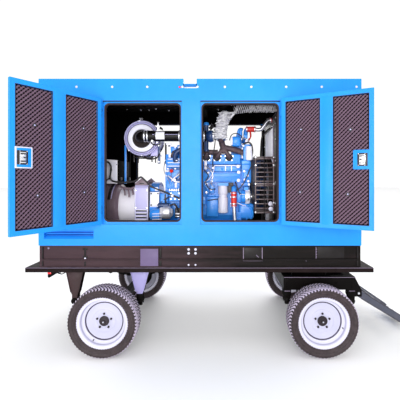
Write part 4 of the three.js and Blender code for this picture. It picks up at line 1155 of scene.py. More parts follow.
def base_details():
    """Fittings on the two rails below the canopy."""
    dress("base_frame", BASE, 0.002, 2)
    dress("trailer_frame", CHASSIS, 0.0025, 2)
    part = Part()
    for _, hand in SIDES:
        face = hand * 562  # floor of the upper channel
        side = hand * 572  # its edges
        low = hand * 564  # floor of the lower channel

        def ys(near, far):
            return hand * near, hand * far

        # bracket of the rear jack point: a black I with a pale pin below it
        part.box((-1022, -982), ys(561, 567), (852, 866), 1, 1)
        part.box((-1009, -995), ys(561, 568), (792, 866), 1, 1)
        part.box((-1022, -982), ys(561, 567), (782, 796), 1, 1)
        part.rod((-1002, hand * 561, 778), (-1002, hand * 568, 778), 8, 20, 1.5, 2)
        part.box((-1009, -995), ys(563, 568), (711, 750), 1, 1)
        # end posts, and the bar beside the faded plate
        for x in (-1378, 1366):
            part.box((x, x + 13), ys(561, 571.5), (776, 878), 1, 1)
            part.box((x, x + 13), ys(563, 571.5), (712, 757), 1, 1)
        part.box((-356, -336), ys(561, 571), (779, 878), 1.5, 1)
        part.box((-356, -336), ys(563, 571), (711, 757), 1.5, 1)
        # the plate's face with its riveted corners
        part.box((-518, -363), ys(575, 577.5), (714, 864), 1.5, 3)
        for x in (-506, -375):
            for z in (726, 852):
                part.dome((x, hand * 577.5, z), (0, hand, 0), 3.5, 1.6, 3, 12)
        # the lifting plate's bolts
        for x in (-100, -40):
            for z in (856, 822):
                part.lathe([(0, -1), (15, -1), (15, 1.2), (0, 1.2)], 24, 1,
                           facing((x, face, z), (0, hand, 0)))
                part.bolt((x, face + hand, z), (0, hand, 0), 9.5, 4)
            part.bolt((x, low, 721), (0, hand, 0), 7, 4)
        # outline of the inspection hatch
        for xs, zs in (((374, 380), (757, 872)), ((538, 544), (757, 872)), ((374, 544), (755, 760))):
            part.box(xs, ys(561.5, 567), zs, 1, 5)
        part.box((381, 537), ys(561, 563.5), (776, 871), 1, 1)
        part.rod((510, hand * 563, 786), (490, hand * 563, 806), 3, 8, 0.5, 5)
        # the joint before the front jack point
        part.box((1008, 1012), ys(561, 568), (776, 878), 0.8, 5)
        part.box((1024, 1256), ys(561, 564), (776, 878), 1, 1)
        for z in (790, 812, 836, 858):
            part.dome((1016, hand * 562, z), (0, hand, 0), 4, 3, 5, 12)
        part.bolt((924, low, 761), (0, hand, 0), 7, 5)
        part.dome((-1322, face, 866), (0, hand, 0), 9, 5, 5)
        # the weld between the two sections, and stitch welds along the rail below
        part.tube([(-1374, side, 766), (-700, side + hand * 0.4, 766), (0, side, 765.6), (700, side, 766),
                   (1374, side, 766)], 2.2, 6, 6, 1)
        for i in range(14):
            x = -1330 + i * 205
            part.tube([(x, hand * 571.5, 701.5), (x + 24, hand * 572.2, 702), (x + 48, hand * 571.5, 701.5)],
                      3.2, 6, 4, 6)
        # a pale strip along the top edge of the trailer's rail, a painted highlight, and the rail's flange
        # bolts
        part.box((TRAILER_REAR + 2, TRAILER_FRONT - 2), ys(577.5, 580.6), (696, 699.4), 0.8, 5)
        for x in (-1430, -1110, -650, -250, 210, 660, 1180, 1450):
            part.bolt((x, hand * 580, 678), (0, hand, 0), 7, 6)
    for x in (-1395, 1395):
        out = math.copysign(1, x)
        for y in (-380, 0, 380):
            part.box((x - 0.5, x + out * 3), (y - 70, y + 70), (728, 748), 1, 1)
            for dy in (-52, 52):
                part.bolt((x + out * 2, y + dy, 738), (out, 0, 0), 7, 6)
    part.done("base_fittings", "trailer",
              [BASE, BLACK_PAINT, WHITE, PLATE_GREY, WHITE, DUST_AND_HIGHLIGHT_LINE, CHASSIS])


def hangers():
    """The rear springs' hangers, and the rods along the trailer's middle."""
    part = Part()
    rear_x, rear_back, rear_front = AXLES[0][1:]
    for _, hand in SIDES:
        for x, half, knee, mat in ((rear_x + rear_back, 78, 466, 0), (rear_x + rear_front, 85, 475, 1)):
            outline = hanger_outline(x, 659, half, knee)
            narrow = [(x + (px - x) * 0.97, pz) for px, pz in outline]
            part.prism("y", (hand * 511, hand * 512.6), narrow, 0.5, mat)
            part.prism("y", (hand * 446.6, hand * 448), narrow, 0.5, mat)
            # ribs down the two edges
            for sign in (-1, 1):
                part.prism("y", (hand * 505, hand * 519), [
                    (x + sign * (half - 6), 659), (x + sign * half, 659), (x + sign * 36, knee),
                    (x + sign * 30, knee)], 1, mat)
            part.box((x - 25, x + 25), (hand * 511, hand * 516), (393, 402), 1, 3)
            part.lathe([(0, 0), (30, 0), (30, 5), (26, 9), (14, 10), (14, 15), (9, 17), (0, 17)], 28, 2,
                       facing((x, hand * 511, EYE_Z - 4), (0, hand, 0)))
            part.lathe([(0, 0), (28, 0), (28, 5), (0, 7)], 28, 2,
                       facing((x, hand * 449, EYE_Z - 4), (0, -hand, 0)))
            part.bolt((x, hand * 526, EYE_Z - 4), (0, hand, 0), 11, 4)
        # the front shackle and the strut that braces the hanger
        x = rear_x + rear_front
        for y in (507, 453):
            part.box((x - 27, x + 27), (hand * (y + 6), hand * (y + 10)), (356, 452), 3, 2)
        part.box((x - 22, x + 22), (hand * 512, hand * 520), (352, 366), 2, 2)
        part.tube([(x - 26, hand * 498, 470), (x - 62, hand * 492, 424), (x - 96, hand * 486, 392)], 8, 10, 3,
                  2)
        part.tube([(x - 18, hand * 514, 470), (x - 52, hand * 510, 424), (x - 88, hand * 506, 388)], 2.6, 8,
                  3, 3)
    # the brake rod and the fuel drain run along the middle
    part.tube([(-760, 0, 652), (-300, 6, 652), (200, 0, 652), (755, 5, 652)], 9, 12, 6, 2)
    part.tube([(-700, 60, 656), (-200, 64, 656), (300, 60, 656), (740, 64, 656)], 5, 8, 6, 5)
    part.done("spring_hangers", "trailer", [HANGER_DARK, HANGER_GREY, CHASSIS_DARK, DUST_AND_HIGHLIGHT_LINE, CHASSIS_DARK,
                                            RUBBER])


def steering_gear():
    """What is on the steering frame, and the turntable's upper ring."""
    dress("steering_frame", CHASSIS_DARK, 0.003, 2)
    rear_eye, front_eye = AXLES[1][2:]
    part = Part()
    for _, hand in SIDES:
        face = hand * 511
        # a pale strip along the frame's top edge: painted highlight
        part.box((741, 1371), (face, face + hand * 1.5), (594, 598), 0.5, 1)
        for x in (760, 1352):
            part.box((x - 12, x + 12), (face, face + hand * 3), (497, 588), 1.5, 0)
        for x in (840, 930, 1120, 1210):
            part.bolt((x, face, 544), (0, hand, 0), 9, 0)
        for x in (TURNTABLE_X + rear_eye, TURNTABLE_X + front_eye):
            for y in (515, 443):
                out = hand if y > 480 else -hand
                part.lathe([(0, 0), (27, 0), (27, 4), (18, 7), (10, 12), (0, 12)], 28, 0,
                           facing((x, hand * y, EYE_Z - 2), (0, out, 0)))
            part.box((x - 25, x + 25), (hand * 511, hand * 516), (402, 478), 3, 0)
            part.box((x - 26, x + 26), (hand * 514, hand * 518), (474, 479), 1, 1)
            part.box((x - 20, x + 20), (hand * 511, hand * 520), (362, 374), 2, 0)
        # gussets over the stringers
        for x in (860, 1190):
            part.prism("x", (x, x + 10), [(hand * 232, 598), (hand * 300, 598), (hand * 232, 540)], 1, 0)
    # grease points and bolts round the turntable
    for i in range(16):
        t = math.radians(22.5 * i + 11)
        part.bolt((TURNTABLE_X + 243 * math.cos(t), 243 * math.sin(t), 622), DOWN, 8, 2)
    part.lathe([(257, 604), (262, 606), (262, 626), (257, 628.6)], 96, 0,
               Matrix.Translation((TURNTABLE_X, 0, 0)), closed=True)
    for angle in (35, 145, 215, 325):
        t = math.radians(angle)
        part.dome((TURNTABLE_X + 261 * math.cos(t), 261 * math.sin(t), 616),
                  (math.cos(t), math.sin(t), 0), 5, 7, 3, 12)
    part.done("steering_fittings", "steering", [CHASSIS_DARK, DUST_AND_HIGHLIGHT_LINE, STEEL, BRIGHT])

    upper = Part()
    upper.lathe([(257, 632), (263, 633.5), (263, 657), (257, 659)], 96, 0,
                Matrix.Translation((TURNTABLE_X, 0, 0)), closed=True)
    for i in range(12):
        t = math.radians(30 * i)
        upper.prism("z", (640, 659), [
            (TURNTABLE_X + 258 * math.cos(t - 0.03), 258 * math.sin(t - 0.03)),
            (TURNTABLE_X + 292 * math.cos(t), 292 * math.sin(t)),
            (TURNTABLE_X + 258 * math.cos(t + 0.03), 258 * math.sin(t + 0.03))], 0.8, 0)
    upper.done("turntable_upper", "trailer", [CHASSIS_DARK])


def drawbar_details():
    """Weld lines, pale lines along the top and bottom painted as highlight, hinge caps and the towing eye's
    collar.
    """
    dress("drawbar", DRAWBAR, 0.003, 2)
    slope = Matrix.Translation((1410, 0, 450)) @ Matrix.Rotation(math.radians(33.5), 4, "Y")
    part = Part(slope)
    for _, hand in SIDES:
        run = Vector((640, hand * (168 - 458), 0))
        start = Vector((44, hand * 458, 0))
        along = run.normalized()
        across = Vector((-along.y, along.x, 0)) * (1 if hand > 0 else -1)
        for side_offset in (-25.5, 25.5):
            for z in (-29, 29):
                a = start + across * side_offset + Vector((0, 0, z))
                b = start + run * 0.97 + across * side_offset * 1.02 + Vector((0, 0, z))
                part.tube([a, (a + b) / 2, b], 2.4, 6, 2, 1)
        # pale lines along the bar's top and bottom: painted highlights
        for z in (30, -30):
            a = start + along * 30 + Vector((0, 0, z))
            b = start + run * 0.93 + Vector((0, 0, z))
            part.tube([a, (a + b) / 2, b], 1.3, 6, 2, 2)
        part.lathe([(0, 0), (26, 0), (26, 4), (20, 7), (12, 9), (0, 9)], 28, 0,
                   facing((0, hand * 485, 0), (0, hand, 0)))
        part.bolt((0, hand * 493, 0), (0, hand, 0), 11, 3)
        for x in (338, 372):
            part.tube([(x, hand * 286, -24), (x, hand * 300, 0), (x, hand * 292, 24)], 4, 6, 4, 0)
    # the eye's collar and the bolts of its plate
    part.lathe([(23, 14), (40, 14), (43, 12), (43, 15.8), (40, 17.2), (25, 17.2), (23, 16)], 48, 3,
               Matrix.Translation((746, 0, 0)), closed=True)
    part.lathe([(21.9, -15.5), (23.5, -15.5), (23.5, 15.5), (21.9, 15.5)], 40, 3,
               Matrix.Translation((746, 0, 0)), closed=True)
    for x, y in ((672, -120), (672, 120), (700, -60), (700, 60)):
        part.bolt((x, y, 15), UP, 10, 3)
    part.done("drawbar_fittings", "drawbar", [DRAWBAR, BLACK_PAINT, PLATE_GREY, STEEL])


def tail_lights():
    dress("tail_light_bar", CHASSIS_DARK, 0.002, 2)
    part = Part()
    for _, hand in SIDES:
        ys = (hand * 438, hand * 552)
        part.box((-1333.5, -1330), ys, (615, 655), 2, 0)
        for i in range(9):
            z = 619 + i * 4
            part.box((-1335, -1332), (hand * 441, hand * 549), (z, z + 1.2), 0.3, 0)
        part.box((-1334.5, -1330), (hand * 494, hand * 497), (614, 656), 0.6, 1)
        part.box((-1331.5, -1300), (hand * 560, hand * 562), (640, 656), 1, 0)
        for y in (446, 544):
            part.dome((-1334, hand * y, 634), BACK, 3.2, 1.5, 2, 12)
        part.tube([(-1270, hand * 500, 636), (-1240, hand * 490, 620), (-1200, hand * 470, 640),
                   (-1150, hand * 455, 656)], 5, 8, 5, 3)
        part.tube([(-1258, hand * 545, 652), (-1238, hand * 545, 640), (-1222, hand * 545, 656)], 4, 8, 4, 4)
    part.box((-1292.5, -1289.5), (-110, 110), (606, 655), 1.5, 5)
    for y in (-95, 95):
        part.bolt((-1292, y, 645), BACK, 5, 2)
    part.done("tail_lights", "trailer", [LENS, CHASSIS_DARK, BRIGHT, RUBBER, CHASSIS_DARK, LABEL])


base_details()
hangers()
steering_gear()
drawbar_details()
tail_lights()


# ---------------------------------------------------------------- air and exhaust

def arc_label(part, x_span, centre, radius, from_deg, to_deg, mat, steps=12):
    """A thin curved sheet on a pipe that runs along x; angles are measured from -y towards +z."""
    y, z = centre
    arc = [math.radians(from_deg + (to_deg - from_deg) * i / steps) for i in range(steps + 1)]
    outer = [(y - (radius + 1.2) * math.cos(a), z + (radius + 1.2) * math.sin(a)) for a in arc]
    inner = [(y - (radius - 0.5) * math.cos(a), z + (radius - 0.5) * math.sin(a)) for a in reversed(arc)]
    part.prism("x", x_span, outer + inner, 0, mat)


FILTER_X, FILTER_Z = -602, 1873  # the air filter's axis, which runs across the trailer
SILENCER = (-100, 2180)  # y and z of the silencer's axis


def air_intake():
    """The air filter, its stand and the pipe from it to the turbocharger."""
    can = Part(facing((FILTER_X, 130, FILTER_Z), RIGHT))
    can.lathe([(0, 0), (164, 0), (172, 5), (175, 14), (175, 84), (177, 88), (177, 96), (175, 100), (175, 230),
               (177.5, 234), (177.5, 246), (175, 250), (175, 302), (172, 310), (168, 312), (163, 310),
               (161.5, 302), (159.5, 302), (158, 310), (154, 313), (151.5, 310), (150.5, 302), (148.5, 302),
               (147.5, 311), (145, 313), (143, 310), (142, 300), (0, 300)], 72, 0)
    # black rings in the lid's groove and in the gap inside its rim: painted shade
    can.lathe([(159, 301), (162, 301), (162, 303.5), (159, 303.5)], 72, 1, closed=True)
    can.lathe([(134, 296), (142.5, 296), (142.5, 303), (134, 303)], 72, 1, closed=True)
    can.lathe([(87, 299), (87, 312), (93, 317), (112, 319), (130, 317), (136, 311), (137, 299)], 72, 2,
              closed=True)
    mouth = Matrix.Translation((3, -8, 0))  # the inlet sits a little off the middle of the lid
    # a black ring between the pale band and the centre: painted shade in the gap
    can.lathe([(84, 296), (91, 296), (91, 320), (84, 320)], 64, 1, mouth, closed=True)
    can.lathe([(0, 298), (86, 298), (86, 316), (80, 321), (68, 322), (64, 319), (58, 322), (40, 323),
               (0, 324)], 48, 3, mouth,
              wave=lambda a, r, h: (r, h + (1.6 * math.sin(a * 9 + r * 0.4) if 20 < r < 76 else 0)))
    for i in range(3):
        t = math.radians(100 + 120 * i)
        at = Matrix.Translation((176 * math.cos(t), 176 * math.sin(t), 262)) @ Matrix.Rotation(t, 4, "Z")
        can.box((-2, 6), (-14, 14), (-30, 34), 2, 4, at)
        can.box((4, 9), (-8, 8), (-22, 6), 2, 4, at)
    can.dome((0, -172, 312), UP, 7, 3, 2)
    can.done("air_filter_can", "trailer", [GREY, BLACK, WHITE_TRIM_AND_HIGHLIGHT, DARK_BROWN, BRIGHT],
             ["air_filter"])

    stand = Part()
    for y in (-120, 60):
        arc = [(FILTER_X + 181 * math.cos(math.radians(a)), y, FILTER_Z + 181 * math.sin(math.radians(a)))
               for a in range(195, 346, 15)]
        for dy in (-12, 12):
            stand.tube([(x, py + dy, z) for x, py, z in arc], 4, 8, 3, 1)
        stand.box((-700, -500), (y - 13, y + 13), (1682, 1690), 1.5, 1)
        for x in (-694, -512):
            stand.box((x - 4, x + 4), (y - 12, y + 12), (1640, 1735), 1.5, 1)
    stand.tube([(-590, -160, 1684), (-540, -166, 1668), (-490, -168, 1668), (-446, -166, 1688),
                (-428, -160, 1722)], 7, 10, 5, 1)
    stand.box((-520, -420), (-150, -60), (1700, 1708), 2, 0)
    stand.prism("y", (-150, -142), [(-516, 1704), (-424, 1704), (-424, 1790), (-436, 1800), (-516, 1716)],
                1.5, 0)
    # posts that carry the filter and the wiring behind it
    stand.box((-448, -424), (-158, -136), (1622, 1826), 2, 2)
    stand.box((-377, -361), (-152, -136), (1622, 1826), 2, 1)
    stand.box((-778, -760), (-160, -142), (1422, 1806), 2, 4)
    stand.box((-872, -846), (296, 316), (1424, 1862), 2, 5)
    stand.box((-930, -600), (290, 312), (1862, 1882), 2, 5)
    for z in (1640, 1800):
        stand.bolt((-436, -158, z), RIGHT, 6, 3)
    stand.done("filter_stand", "trailer", [GREY, BLACK_PAINT, ENGINE_DARK, BRIGHT, ENGINE, MATT_BLACK_AND_SHADE])

    pipe = Part()
    bend = [(FILTER_X, -192, 1875), (-601, -222, 1876), (-588, -252, 1877), (-560, -270, 1879),
            (-520, *INTAKE)]
    pipe.tube(bend, 52, 32, 8, 0, lambda i, n, a: 1 + 0.015 * math.sin(i * 1.9))
    run = [(-520, *INTAKE), (-300, *INTAKE), (-60, *INTAKE), (42, *INTAKE)]
    pipe.tube(run, 51, 32, 10, 0, lambda i, n, a: 1.0 if 2 < i < n - 3 else 1.05)
    for x in (-548, -519, -215, 20):
        pipe.clamp((x, -272 if x < -530 else -275, 1879.5), AHEAD, 54.5, 12, 1)
    arc_label(pipe, (-436, -353), INTAKE, 51.3, -42, 46, 2)
    pipe.box((-428, -414), (-282, -268), (1932, 2012), 1.5, 1)
    pipe.box((-440, -402), (-284, -264), (1930, 1938), 2, 1)
    pipe.prism("y", (-279, -271), [(-410, 1950), (-372, 1934), (-378, 1958), (-404, 1974)], 1, 0)
    pipe.box((-432, -410), (-300, -250), (2010, 2018), 2, 0)
    pipe.tube([(-480, -300, 1838), (-474, -310, 1806), (-440, -312, 1792), (-400, -300, 1800)], 6, 10, 5, 0)
    pipe.bolt((-470, -318, 1830), RIGHT, 9, 1)
    pipe.bolt((-425, -316, 1815), RIGHT, 7, 1)
    for xs in ((-500, -446), (-345, -228), (-202, 8)):
        # a pale line along the pipe's front: painted highlight
        pipe.tube([(xs[0], -324.6, 1890), (xs[1], -324.6, 1890)], 2.2, 8, 2, 3)
    pipe.done("air_hose", "trailer", [GLOSS_RUBBER, BRIGHT, LABEL, GREY], ["intake_pipe"])


def wrapped_pipe():
    """The exhaust pipe in its heat wrap, from the turbocharger to the silencer."""
    random.seed(11)
    folds = [[0.9 + 0.2 * random.random() for _ in range(24)] for _ in range(160)]

    def crumple(i, n, angle):
        k = int(angle / (2 * math.pi) * 23.9)
        return folds[i % 160][k] * (1 + 0.07 * math.sin(i * 1.7) + 0.05 * math.sin(i * 0.9 + angle * 3))

    wrapped = Part()
    wrapped.tube([(170, -292, 1846), (172, -290, 1880), (180, -282, 1930), (192, -268, 1990),
                  (210, -244, 2050), (232, -215, 2098)], 55, 26, 10, 0,
                 lambda i, n, a: crumple(i, n, a) * (1.3 - 0.32 * min(1, i / 22)))
    # the run under the turns of wrap is matt black, so the gaps between the turns show painted shade
    wrapped.tube([(222, -222, 2096), (262, -186, 2142), (320, -150, 2168), (400, -118, 2180),
                  (520, -104, 2186), (680, -100, 2188), (832, -100, 2188)], 42, 24, 12, 2, crumple)
    # loose ends of the wrap stand off at the bend and along the pipe
    for i in range(46):
        x = 250 + i * 12.6
        y = -150 - 6 * random.random() if x < 330 else -106
        rise = random.uniform(-10, 10)
        lean = random.uniform(8, 26)
        base = Vector((x, y - 38, 2150 + rise if x < 330 else 2176 + rise))
        width = random.uniform(6, 13)
        tall = random.uniform(26, 44)
        wrapped.prism("y", (base.y - 5, base.y - 3.4), [
            (base.x, base.z - tall), (base.x + width, base.z - tall),
            (base.x + width + lean, base.z + tall * 0.8), (base.x + lean, base.z + tall * 0.86)], 0, 0)
    for a, b, c, d in (((160, 2092), (196, 2100), (236, 2060), (206, 2050)),
                       ((330, 2104), (296, 2100), (252, 2046), (280, 2050)),
                       ((150, 2104), (336, 2110), (318, 2094), (170, 2090))):
        wrapped.prism("y", (-292, -286), [a, b, c, d], 0.8, 0)
    for i in range(44):
        t = i / 43
        x = 170 + 50 * t * t + random.uniform(-60, 60) * (1.1 - 0.3 * t)
        z = 1850 + 238 * t + random.uniform(-8, 8)
        turn = random.uniform(-0.5, 0.5)
        size = random.uniform(12, 24)
        wrapped.prism("y", (-364 + 64 * t, -362.6 + 64 * t),
                      [(x - size * math.cos(turn), z - size * math.sin(turn)),
                       (x + size * math.cos(turn), z + size * math.sin(turn)),
                       (x + size * math.cos(turn) - 5, z + size * math.sin(turn) + 9),
                       (x - size * math.cos(turn) - 3, z - size * math.sin(turn) + 7)], 0, 0)
    for i in range(27):  # turns of the wrap, one over the edge of the last
        x = 300 + i * 20
        z = 2160 + 28 * min(1, (x - 300) / 160)
        y = -158 + 56 * min(1, (x - 300) / 200)
        wrapped.lathe([(43, -5), (48.5, -4), (48, 5), (43, 6)], 26, 0,
                      facing((x, y, z), (1, 0, 0.42)), closed=True)
    for x in (300, 470, 640, 800):
        wrapped.clamp((x, -104, 2186 if x > 350 else 2162), (1, 0, 0.05), 46, 8, 1)
    wrapped.done("exhaust_wrap", "trailer", [WRAP, STEEL, MATT_BLACK_AND_SHADE], ["exhaust_pipe"], 50)


def scroll(low, grow):
    """Past a radius, a housing widens as it goes round."""
    return lambda a, r, h: (r * (1 + grow * a / (2 * math.pi)) if r > low else r, h)


def manifold_and_turbo():
    """The exhaust manifold with its runners, and the turbocharger."""
    hot = Part()
    # the log, its runners and their flanges
    hot.tube([(-286, -206, 1668), (-284, -206, 1704), (-262, -204, 1736), (-220, -198, 1746),
              (-90, -196, 1744), (40, -200, 1732), (150, -206, 1728)], 27, 20, 8, 0,
             lambda i, n, a: 1.1 if i % 8 in (0, 1) else 1)
    hot.tube([(196, -226, 1776), (250, -222, 1768), (320, -212, 1752), (392, -200, 1728)], 28, 20, 8, 0,
             lambda i, n, a: 1.08 if i in (3, 4, 20, 21) else 1)
    hot.dome((208, -220, 1752), (0, -1, 0.4), 42, 34, 0, 28)
    hot.rod((392, -200, 1728), (402, -200, 1728), 33, 24, 2)
    for x in (-286, -172, -68, 40, 143, 261):
        top = (208, -226, 1768) if x > 100 else (x + 10, -200, 1738)
        mid = ((top[0] + x) / 2, -232, (top[2] + 1690) / 2)
        hot.tube([top, mid, (x, -222, 1686), (x, -190, 1680)], 21, 16, 6, 0)
        hot.lathe([(19, 0), (34, 0), (36, 2), (36, 9), (33, 11), (19, 11)], 28, 3,
                  facing((x, -206, 1680), RIGHT), closed=True)
        for dx, dz in ((-34, 12), (34, 12), (-26, -26), (26, -26)):
            hot.bolt((x + dx, -208, 1680 + dz), RIGHT, 8, 1)
    hot.tube([(208, -222, 1762), (196, -236, 1796), (188, -262, 1830), (186, -275, 1860)], 30, 20, 6, 0)
    # turbine with its scroll, the bearing housing and the compressor
    hot.turned((150, *INTAKE), (222, *INTAKE),
               [(0, 0), (38, 0), (52, 0.12), (62, 0.35), (63, 0.6), (52, 0.86), (40, 0.92), (40, 1), (0, 1)],
               40, 0, scroll(45, 0.12))
    hot.turned((100, *INTAKE), (156, *INTAKE), [(0, 0), (34, 0), (34, 0.2), (28, 0.3), (28, 0.8), (34, 1),
                                                (0, 1)], 24, 2)
    hot.turned((42, *INTAKE), (110, *INTAKE), [(0, 0), (40, 0), (42, 0.1), (48, 0.22), (56, 0.45), (55, 0.75),
                                               (46, 0.96), (30, 1), (0, 1)], 40, 2, scroll(44, 0.1))
    hot.tube([(76, -275, 1950), (110, -262, 1980), (150, -200, 1972), (178, -120, 1900), (190, -60, 1820)],
             18, 14, 6, 3)
    hot.clamp((150, *INTAKE), AHEAD, 47, 10, 1)
    hot.clamp((108, *INTAKE), AHEAD, 52, 8, 1)
    hot.lathe([(36, 0), (58, 0), (58, 10), (50, 14), (36, 14)], 32, 0,
              facing((176, -275, 1900), (0.15, 0, 1)), closed=True)
    hot.tube([(128, -300, 1862), (124, -318, 1800), (112, -300, 1720), (104, -262, 1640), (100, -236, 1560)],
             5, 10, 6, 4)
    hot.tube([(132, -288, 1908), (110, -322, 1960), (92, -300, 2000), (90, -220, 1990)], 4, 8, 6, 4)
    hot.rod((205, -322, 1850), (222, -322, 1850), 21, 24, 3, 2)
    hot.rod((222, -322, 1850), (262, -322, 1850), 5, 12, 1, 1)
    hot.done("exhaust_manifold_and_turbo", "trailer", [MANIFOLD, BRIGHT, ENGINE_DARK, BLACK_PAINT, RUBBER],
             ["exhaust_manifold"])


def silencer():
    """The silencer under the roof, its outlet and its straps."""
    can = Part()
    can.turned((830, *SILENCER), (1290, *SILENCER), [(0, 0), (80, 0), (92, 0.01), (99, 0.03), (99, 0.2),
                                                     (101, 0.21), (101, 0.225), (99, 0.235), (99, 0.77),
                                                     (101, 0.78), (101, 0.795), (99, 0.805), (99, 0.97),
                                                     (92, 0.99), (80, 1), (0, 1)], 48, 0)
    can.turned((1284, -100, 2170), (1396, -100, 2170), [(0, 0), (38, 0), (38, 0.97), (35, 0.985), (33, 0.95),
                                                        (33, 0.6), (0, 0.6)], 28, 1)
    for x in (900, 1210):
        for dy in (-1, 1):
            can.box((x - 14, x + 14), (-100 + dy * 96, -100 + dy * 100), (2180, 2276), 1.5, 2)
        can.lathe([(99, -14), (103, -14), (103, 14), (99, 14)], 48, 2,
                  facing((x, *SILENCER), AHEAD), closed=True)
    can.done("silencer", "trailer", [HEAT_GREY, IRON, BLACK_PAINT], ["muffler"])


def exhaust():
    wrapped_pipe()
    manifold_and_turbo()
    silencer()


air_intake()
exhaust()


# ---------------------------------------------------------------- generator end

def generator_frame():
    """The generator's shell, its adapter to the engine, its feet and lifting lugs."""
    set_part = Part()
    axis = facing((0, 0, CRANK_Z), AHEAD)
    set_part.lathe([(150, -1008), (214, -1008), (226, -1004), (234, -994), (235, -980), (235, -862),
                    (233, -850), (222, -842), (204, -836), (198, -830)], 72, 0, axis)
    set_part.lathe([(150, -842), (190, -838), (195, -828), (194, -810), (192, -760), (192, -700), (196, -672),
                    (206, -660), (206, -655), (150, -655)], 72, 5, axis, closed=True)
    for x in (-968, -872):
        set_part.lathe([(234, x - 3), (238, x - 2), (238, x + 2), (234, x + 3)], 72, 0, axis, closed=True)
    for i in range(24):
        t = math.radians(15 * i)
        fin = Matrix.Translation((0, 0, CRANK_Z)) @ Matrix.Rotation(t, 4, "X")
        set_part.box((-998, -966), (-3, 3), (233, 238.5), 1, 0, fin)
    # dark sheets over the air slots in the end shield, painted shade for their dark insides, and a pale strip
    # beside each
    for turn in (0, 180):
        arc_label(set_part, (-927, -901), (0, CRANK_Z), 235.2, 20 + turn, 76 + turn, 3)
        arc_label(set_part, (-896, -887), (0, CRANK_Z), 236, 22 + turn, 72 + turn, 1)
    adapter = [(-250, 950), (250, 950), (250, 1380), (220, 1411), (-220, 1411), (-250, 1380)]
    set_part.prism("x", (-655, -522), adapter, 4, 1)
    for _, hand in SIDES:
        side = (hand * 249, hand * 253)
        set_part.box((-652, -646), side, (958, 1388), 1.5, 2)
        set_part.box((-531, -525), side, (958, 1388), 1.5, 2)
        # black louvre slots under the lips: dark boxes painted as the shade inside the openings
        for i in range(4):
            z = 1064 + i * 32
            set_part.box((-642, -536), (hand * 247, hand * 251), (z - 6, z + 12), 1, 3)
            set_part.prism("x", (-641, -537), [(hand * 250, z + 12), (hand * 257, z + 8),
                                               (hand * 257, z + 11), (hand * 250, z + 17)], 0.5, 2)
        for x in (-644, -533):
            for z in (975, 1190, 1360):
                set_part.bolt((x, hand * 250, z), (0, hand, 0), 6, 4)
        # feet
        set_part.box((-892, -808), (hand * 128, hand * 240), (892.5, 912), 3, 0)
        set_part.prism("x", (-886, -814), [(hand * 140, 905), (hand * 228, 905), (hand * 205, 1075),
                                           (hand * 160, 1042)], 3, 0)
        for x in (-878, -822):
            set_part.bolt((x, hand * 226, 912), UP, 9, 4)
        # a black strip between the adapter and the flywheel housing: painted shade in the gap
        set_part.box((-521, -509), (hand * 235, hand * 251), (960, 1400), 2, 3)
    # triangular lifting lug on the adapter
    lug = [(-655, 1408), (-524, 1408), (-524, 1420), (-580, 1470), (-592, 1480), (-600, 1470), (-655, 1430)]
    for y in (-228, 214):
        set_part.prism("y", (y, y + 14), lug, 2, 0)
        # pale rods along the lug's upper edges: painted highlights
        for a, b in zip(lug[2:], lug[3:]):
            set_part.rod((a[0], y - 1, a[1]), (b[0], y - 1, b[1]), 2.2, 8, 0.5, 2)
        set_part.box((-612, -566), (y - 2, y + 16), (1420, 1430), 2, 3)
    set_part.box((-650, -530), (-200, 200), (1409, 1415), 2, 1)
    set_part.done("generator_frame", "trailer", [GEN_DARK, GREY, WHITE_TRIM_AND_HIGHLIGHT, BLACK, BRIGHT, PALE_GREY],
                  ["generator_housing"], 30)


def terminal_box():
    """The pale box on top of the generator, with its cables."""
    box = Part()
    box.box((-999, -829), (-189, 189), (1423, 1652), 5, 0, segments=3)
    box.prism("y", (-191, 191), [(-1001, 1646), (-827, 1630), (-827, 1642), (-850, 1655), (-1001, 1668)], 2,
              0)
    for z in (1436, 1610):
        for x in (-984, -846):
            box.bolt((x, -189, z), RIGHT, 6, 2)
    # a plate in the lighter white paint over the box's front: painted light on the side towards the lamps
    box.box((-990, -842), (-190.5, -188), (1442, 1638), 2, 1)
    box.box((-962, -880), (-193, -190), (1490, 1590), 1.5, 0)
    # matt black plates over the box's end and front corner, which lie in shade: painted shade
    box.box((-829.5, -825), (-191, 191), (1422, 1652), 1.5, 4)
    box.box((-838, -825.5), (-191.5, -186), (1422, 1650), 1.5, 4)
    for y in (-150, 0, 150):
        box.rod((-829, y, 1470), (-806, y, 1470), 17, 24, 2, 3)
    box.tube([(-988, -192, 1640), (-960, -204, 1600), (-950, -208, 1540), (-962, -204, 1480),
              (-940, -208, 1446)], 8.5, 12, 6, 3)
    box.rod((-1000, -120, 1440), (-1034, -120, 1440), 20, 24, 2, 3)
    box.tube([(-1034, -120, 1440), (-1080, -120, 1432), (-1110, -118, 1370), (-1112, -110, 1200),
              (-1112, -100, 910)], 15, 14, 6, 3)
    box.done("terminal_box_shell", "trailer", [PALE_GREY, WHITE_TRIM_AND_HIGHLIGHT, BRIGHT, RUBBER, MATT_BLACK_AND_SHADE],
             ["terminal_box"])


